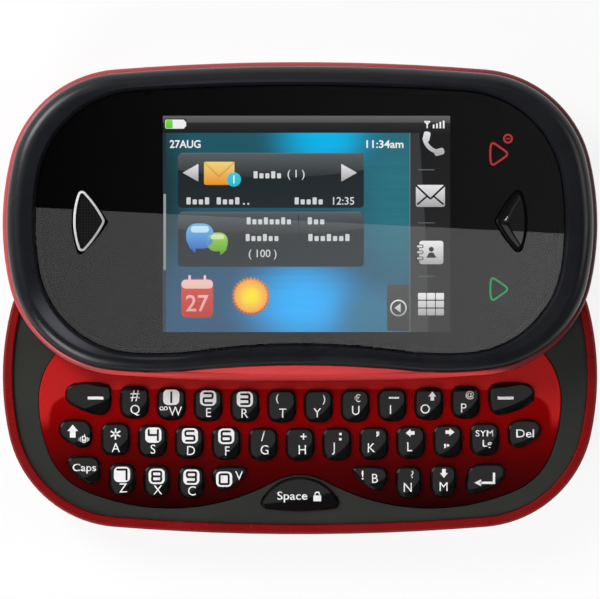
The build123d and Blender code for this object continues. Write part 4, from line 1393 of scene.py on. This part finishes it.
on_screen("sun_icon", [(sun_disc(2.98, 0.38), 1, 3), (sun_disc(2.66, 0.34), 0, 4)], "sun_ink", "sun_rim")
ring_steps = 32
on_screen("back_tab", [tile(3.9, 7.9, 40.15, 32.7, 1, corner=0.45)], "tab_ink")
back_ring = at(arc_band(1.3 * mm, 0.24 * mm, 0, 360, ring_steps), 40.15, 32.75)
on_screen("back_sign", [(back_ring, 0, 3), pointer(40.0, 32.75, 1.05, 1.6, turn=180)], "silver_ink")
print("foot icons")

# %% Side bar icons
on_screen("handset_icon", [
    (at(arc_band(2.85 * mm, 0.70 * mm, 188, 80, 14), 47.4, 3.35), 0, 3),
    tile(1.75, 1.15, 44.95, 3.55, 4, 0, 0.40, 4, 78),
    tile(1.75, 1.15, 47.10, 6.15, 5, 0, 0.40, 4, 16),
], "silver_ink")

letter = envelope(45.6, 13.65, 4.95, 3.75, 0.32)
letter += [tile(2.1, 0.30, 45.6 + side * 1.45, 14.45, 4, 1, turn=-side * 40) for side in (-1, 1)]
on_screen("letter_icon", letter, "silver_ink", "dark_mark")

shoulders = shape([
    (-0.88 * mm, -0.45 * mm), (0.88 * mm, -0.45 * mm), (0.35 * mm, 0.45 * mm), (-0.35 * mm, 0.45 * mm),
], 0.12 * mm)
book = [
    tile(4.1, 4.0, 45.75, 23.3, 3, corner=0.45),
    (at(disc(0.42 * mm, 20), 45.75, 22.75), 1, 4),
    (at(shoulders, 45.75, 23.75), 1, 4),
]
for down in (22.25, 23.25, 24.3):
    book.append(tile(1.15, 0.62, 43.85, down, 4, 1, 0.28))
    book.append(tile(0.95, 0.34, 43.80, down, 5, 0, 0.15))
on_screen("book_icon", book, "silver_ink", "dark_mark")

grid = [
    tile(1.38, 1.14, 45.7 + 1.52 * (column - 1), 32.1 + 1.34 * (row - 1), 3, corner=0.12)
    for row in range(3) for column in range(3)
]
on_screen("grid_icon", grid, "silver_ink")
print("side icons")

# %% [markdown]
# ## Call marks
# The end and send marks are lit outlines that show through the glass. On the real window they are
# the first ink to be printed, straight onto the back of the glass, so the black coats lie behind
# them. Each is a triangle whose left side is bowed and whose corners are rounded by a wide bevel.

# %% Call marks
mark_low = window_low.z - 0.024 * mm
mark_depth = 0.014 * mm


def call_mark(x, y):
    """A rounded triangle's outline that points to the right."""
    sheet = shape([
        (-1.30 * mm, -2.45 * mm), (2.20 * mm, 0), (-1.30 * mm, 2.45 * mm), (-1.62 * mm, 0),
    ], 1.08 * mm, 7)
    return put(outline(sheet, 0.34 * mm), x, y)


mark_x, end_y, send_y = 33.8 * mm, 37.9 * mm, 14.86 * mm
minus_x, minus_y = 35.45 * mm, 40.5 * mm
end_mark = [
    call_mark(mark_x, end_y),
    put(arc_band(0.68 * mm, 0.30 * mm, 0, 360, ring_steps), minus_x, minus_y),
    put(bar(0.58 * mm, 0.20 * mm), minus_x, minus_y),
]
send_mark = [call_mark(mark_x, send_y)]
print_on("end_mark", end_mark, mark_low, mark_depth, ["end_ink"], "slider")
print_on("send_mark", send_mark, mark_low, mark_depth, ["send_ink"], "slider")
print("call marks lit")

# %% [markdown]
# ## Legends on the keys
# A legend is white ink on a key top, so each key gets one thin piece that rides on the key and goes
# down with it. Letters come from lettering. The phone's digits stand in white rounded squares, and
# their boxy strokes are rounded rings and hooks, one for each half of the digit, so a digit is a
# short list that says which way its hooks open. Marks are placed from the middle of their own key.

# %% Digits for the legends
digit_width, digit_height, digit_stroke = 1.55 * mm, 1.66 * mm, 0.34 * mm
digit_parts = {
    "0": [(0, 0)], "2": [(1, 1), (-1, -1)], "3": [(1, 1), (1, -1)], "5": [(-1, 1), (1, -1)],
    "6": [(-1, 1), (0, -1)], "8": [(0, 1), (0, -1)], "9": [(0, 1), (1, -1)],
}


def loop(side, level):
    """A rounded ring, or a hook closed on one side, in a digit's upper (1) or lower (-1) half."""
    half = digit_height if level == 0 else digit_height / 2
    spare = digit_stroke if side else 0.0
    ring = bar(digit_width + digit_stroke + spare, half + digit_stroke, 0.42 * mm, 5)
    sheet = put(outline(ring, digit_stroke), -side * spare / 2, level * digit_height / 4)
    if side:
        split(sheet, (-side * digit_width / 2, 0, 0), (-side, 0, 0), clear_outer=True)
    return sheet


def digit_square(digit):
    """A white rounded square with a boxy digit on it."""
    tall, top = digit_height + digit_stroke, digit_height / 2
    strokes = {
        "1": [put(bar(digit_stroke, tall, 0.05 * mm), 0, 0)],
        "4": [
            put(bar(digit_stroke, tall, 0.12 * mm), digit_width / 2, 0),
            put(bar(digit_width + digit_stroke, digit_stroke, 0.12 * mm), 0, 0),
            put(bar(digit_stroke, top + digit_stroke, 0.12 * mm), -digit_width / 2, top / 2),
        ],
        "7": [
            put(bar(digit_stroke, tall, 0.12 * mm), digit_width / 2, 0),
            put(bar(digit_width + digit_stroke, digit_stroke, 0.12 * mm), 0, top),
        ],
    }.get(digit) or [loop(side, level) for side, level in digit_parts[digit]]
    square = bar(2.76 * mm, 2.62 * mm, 0.80 * mm, 5)
    return [square] + [(stroke, 1, ink_depth * (1 + step / 2)) for step, stroke in enumerate(strokes)]


print(len(digit_parts) + 3, "digits ready")

# %% Signs for the legends
letter_height = 1.54 * mm


def letter_sign(text):
    return [lettering(text, letter_height, 0.0, 0.96)]


def small_sign(text, height, bold=0.02):
    """A character drawn to a height of its own, in millimetres."""
    return [sign(text, height * mm, bold * mm)]


def word_sign(text, height):
    return [lettering(text, height * mm, 0.02 * mm, 1.15)]


def block_sign(*boxes):
    """Bars given as (length, width, x, y) in millimetres."""
    return [put(bar(length * mm, width * mm), x * mm, y * mm) for length, width, x, y in boxes]


def arrow_sign(turn, length=1.55, width=1.35, head=0.85, stem=0.62):
    return [put(arrow(length * mm, width * mm, head * mm, stem * mm), 0, 0, math.radians(turn))]


def star_sign():
    return [put(bar(1.9 * mm, 0.27 * mm), 0, 0, math.radians(90 + 60 * spoke)) for spoke in range(3)]


def plus_sign():
    x, y = 0.52 * mm, 0.12 * mm
    quarter = [(x, -y), (x, y), (y, y)]
    turns = ((1, 0), (0, 1), (-1, 0), (0, -1))
    return [shape([(a * c - b * s, a * s + b * c) for c, s in turns for a, b in quarter])]


def return_sign():
    """A line that comes down from the right and runs left into an arrow head."""
    head = put(wedge(1.15 * mm, 1.15 * mm), -1.25 * mm, -0.72 * mm, math.pi)
    line = shape([
        (-0.9 * mm, -0.92 * mm), (1.72 * mm, -0.92 * mm), (1.72 * mm, 1.0 * mm), (1.32 * mm, 1.0 * mm),
        (1.32 * mm, -0.52 * mm), (-0.9 * mm, -0.52 * mm),
    ])
    return [head, line]


def lock_sign():
    body = put(bar(1.35 * mm, 1.0 * mm, 0.08 * mm), 0, -0.3 * mm)
    shackle = put(arc_band(0.38 * mm, 0.24 * mm, 0, 180, 10), 0, 0.38 * mm)
    return [body, shackle] + block_sign((0.24, 0.36, -0.38, 0.28), (0.24, 0.36, 0.38, 0.28))


def tape_sign():
    """Two small reels on a line."""
    reels = [put(arc_band(0.27 * mm, 0.16 * mm, 0, 360, 16), side * 0.36 * mm, 0) for side in (-1, 1)]
    return reels + block_sign((0.72, 0.15, 0.0, -0.27))


def ringer_sign():
    """A small phone that shakes between two pairs of short lines."""
    parts = [outline(bar(0.66 * mm, 1.15 * mm, 0.12 * mm), 0.16 * mm)]
    parts += block_sign((0.24, 0.3, 0.0, -0.15), (0.18, 0.3, 0.12, 0.72))
    for side in (-1, 1):
        parts += block_sign((0.14, 0.8, side * 0.55, 0.0), (0.12, 0.5, side * 0.82, 0.0))
    return parts


print("signs ready")

# %% Print the legends
# Each mark is (shapes, x, y), in millimetres from the middle of its key. A plain letter is lettered.
legends = {
    "soft_left": [(block_sign((2.7, 0.5, 0.0, 0.0)), 1.2, 0.1)],
    "q": [(small_sign("#", 1.9), 0.1, 1.1), ("Q", 0.1, -1.4)],
    "w": [(digit_square("1"), 0.0, 1.1), ("W", 0.7, -1.3), (tape_sign(), -1.3, -0.8)],
    "e": [(digit_square("2"), 0.0, 1.15), ("E", 0.1, -1.3)],
    "r": [(digit_square("3"), 0.0, 1.1), ("R", 0.0, -1.3)],
    "t": [(small_sign("(", 1.7), -0.7, 1.25), ("T", 0.2, -1.2)],
    "y": [(small_sign(")", 1.7), 0.95, 1.1), ("Y", -0.2, -1.15)],
    "u": [(small_sign("\u20ac", 1.35), 0.4, 1.3), ("U", 0.1, -0.8)],
    "i": [(block_sign((1.75, 0.3, 0.0, 0.0)), 0.35, 1.2), ("I", -0.25, -0.8)],
    "o": [(arrow_sign(0), 0.6, 1.3), ("O", -0.6, -0.9)],
    "p": [(small_sign("@", 1.45), 0.75, 1.2), ("P", -0.3, -1.0)],
    "soft_right": [(block_sign((2.7, 0.5, 0.0, 0.0)), -1.0, 0.1)],
    "shift": [(arrow_sign(0, 2.2, 1.9, 1.1, 1.0), -0.5, 0.4), (ringer_sign(), 1.4, -1.0)],
    "a": [(star_sign(), 0.0, 0.9), ("A", 0.05, -1.45)],
    "s": [(digit_square("4"), 0.15, 1.0), ("S", 0.1, -1.4)],
    "d": [(digit_square("5"), 0.1, 1.1), ("D", 0.3, -1.4)],
    "f": [(digit_square("6"), 0.0, 1.2), ("F", 0.2, -1.3)],
    "g": [(small_sign("/", 1.7), 0.0, 1.35), ("G", 0.25, -1.0)],
    "h": [(plus_sign(), 0.6, 1.3), ("H", 0.4, -0.95)],
    "j": [(block_sign((0.42, 0.42, 0.0, 0.45), (0.42, 0.42, 0.0, -0.45)), 0.6, 1.25), ("J", -0.6, -0.8)],
    "k": [(small_sign(",", 0.95, 0.05), 0.7, 1.6), ("K", -0.4, -0.75)],
    "l": [(arrow_sign(90), -0.1, 1.6), ("L", -0.15, -0.75)],
    "comma": [(arrow_sign(-90), 0.4, 1.5), (small_sign(",.", 0.8, 0.05), -0.15, -0.9)],
    "symbol": [(word_sign("SYM", 1.02), 0.0, 1.0), (word_sign("Lg", 1.1), 0.5, -0.9)],
    "delete": [(word_sign("Del", 1.36), 0.15, 0.0)],
    "caps": [(word_sign("Caps", 1.22), 0.1, 0.2)],
    "z": [(digit_square("7"), 0.0, 0.8), ("Z", 0.2, -1.5)],
    "x": [(digit_square("8"), 0.0, 0.75), ("X", 0.2, -1.55)],
    "c": [(digit_square("9"), 0.0, 0.85), ("C", 0.1, -1.5)],
    "v": [(digit_square("0"), -0.95, -0.2), ("V", 1.6, 0.4)],
    "space": [(word_sign("Space", 1.36), -1.3, -0.5), (lock_sign(), 2.95, -0.45)],
    "b": [(small_sign("!", 1.6, 0.06), -1.3, 0.5), ("B", 0.8, -0.05)],
    "n": [(small_sign("?", 1.25), 0.65, 1.3), ("N", -0.15, -0.9)],
    "m": [(arrow_sign(180), 0.1, 1.25), ("M", 0.05, -1.0)],
    "enter": [(return_sign(), 0.0, 0.0)],
}
for key, marks_on_key in legends.items():
    low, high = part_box("key_" + key)
    middle = (low + high) / 2
    layers = []
    for shapes, x, y in marks_on_key:
        for sheet, ink, step in map(as_layer, letter_sign(shapes) if isinstance(shapes, str) else shapes):
            layers.append((put(sheet, middle.x + x * mm, middle.y + y * mm), ink, step))
    inks = ["legend_white", "legend_dark"]
    print_on("legend_" + key, layers, high.z + above_skin, ink_depth, inks, "key_" + key)
print(len(legends), "keys printed")

# %% [markdown]
# ## Hang the cards
# Every outline is known now, so the reflected cards can go up. A low one is made a little larger than
# the window, just so much that its mirror image fits the window as the camera sees it. The frame's
# card is cut away beside the keys, which would mirror it otherwise.

# %% Cards over the window
low_card_height = 2 * mm
sheen_left = Vector((-45.0 * mm, 28.75 * mm, 0))
sheen_right = Vector((45.0 * mm, 24.30 * mm, 0))
ledge_width = 1.0 * mm
ledge_gain = 1.9


def over(sheet, height):
    """Lifts a flat shape over the window, just so much larger that its mirror image fits."""
    spread = 1 + height / camera_distance
    space = Matrix.Translation(-view_middle)
    bmesh.ops.scale(sheet, vec=(spread, spread, 1), space=space, verts=sheet.verts[:])
    return raise_by(sheet, window_high.z + height)


def near_piece(place, piece):
    """Whether a place lies over a piece's box or closer to it than the ledge is wide."""
    low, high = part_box(piece)
    return all(low[k] - ledge_width < place[k] < high[k] + ledge_width for k in (0, 1))


def window_card(name, keep_low, strength, shade):
    """The part of the window's outline below or above the sheen's edge, hung over the window.

    Only the upper face of the glass mirrors it over the frame's ledge, so its edge is brighter.
    """
    sheet = flat_side("front_window")
    inner = inset(sheet, ledge_width)
    for face in set(sheet.faces) - set(inner):
        place = face.calc_center_median()
        near = [piece for piece in ("earpiece_trim", "nav_key") if near_piece(place, piece)]
        face.material_index = 0 if near else 1
    over_key = sheet.faces.new([sheet.verts.new((x, y, 0)) for x, y in face_top])
    over_key.material_index = 1
    along = (sheen_right - sheen_left).normalized()
    split(sheet, sheen_left, Vector((-along.y, along.x, 0)), keep_low, not keep_low)
    hung = card(name, over(sheet, low_card_height), strength, shade)
    hung.data.materials.append(card_finish(name + " edge", ledge_gain * strength, shade))


def across_fade(left, right):
    """A grey that runs from left to right over the window's length."""
    def shade(tree):
        share = rescale(tree, axes_of(tree, here(tree))["X"], window_low.x, window_high.x, 0.0, 1.0)
        return blend_colours(tree, share, (left, left, left, 1), (right, right, right, 1))
    return shade


window_card("sheen card", True, 1.0, across_fade(0.60, 0.93))
window_card("dark card", False, 1.0, across_fade(0.02, 0.12))

print("sheen hung")

# %% Card over the earpiece
ear_low, ear_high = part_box("earpiece_trim")
ear_middle = (ear_low + ear_high) / 2
halo = 0.42 * mm
halo_shift = (0.12 * mm, -0.16 * mm)
ear_card_height = low_card_height - 0.5 * mm
ear_card_light = 0.004
sheet = flat_side("earpiece_mesh")
inner_width, inner_height = size_of(sheet)
bmesh.ops.translate(sheet, vec=-ear_middle * Vector((1, 1, 0)), verts=sheet.verts[:])
growth = [(ear_high[k] - ear_low[k] + 2 * halo) / (inner_width, inner_height)[k] for k in (0, 1)]
bmesh.ops.scale(sheet, vec=(*growth, 1), verts=sheet.verts[:])
put(sheet, ear_middle.x + halo_shift[0], ear_middle.y + halo_shift[1])
card("earpiece card", over(sheet, ear_card_height), ear_card_light)
print("earpiece card hung")


# %% Card over the frame and high card
def frame_shade(tree):
    """Soft lights over the frame: along its top and round its lower left corner."""
    paint = (0.10, 0.10, 0.10, 1)
    for (x, y), (reach_x, reach_y), light in frame_lights:
        mask = use(
            tree, spot, Centre=(x * mm, y * mm, bezel_high + frame_card_height),
            Reach=(reach_x * mm, reach_y * mm, 1.0),
        )
        paint = blend_colours(tree, mask["Mask"], paint, light)
    return paint


frame_lights = [
    ((-10.0, 52.5), (52.0, 5.5), (1.50, 1.57, 1.78, 1)),
    ((-39.5, 8.0), (13.0, 10.0), (2.60, 2.60, 2.85, 1)),
    ((-25.5, 2.0), (12.0, 3.5), (2.40, 2.40, 2.65, 1)),
]
bezel_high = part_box("front_bezel")[1].z
frame_card_height = 2 * mm
clear_left, clear_top = -12 * mm, 25 * mm
sheet = flat_side("front_bezel", max)
split(sheet, (clear_left, 0, 0), (1, 0, 0))
split(sheet, (0, clear_top, 0), (0, 1, 0))
middles = {face: face.calc_center_median() for face in sheet.faces}
beside_keys = [face for face, m in middles.items() if m.x > clear_left and m.y < clear_top]
bmesh.ops.delete(sheet, geom=beside_keys, context="FACES")
card("frame card", raise_by(sheet, bezel_high + frame_card_height), 1.0, frame_shade)
high_radius, high_light = 1.75, 0.55
high_x, high_y, high_z = -1.46, 1.36, 2.0
card("high card", raise_by(put(disc(high_radius, 64), high_x, high_y), high_z), high_light)
print("cards hung")
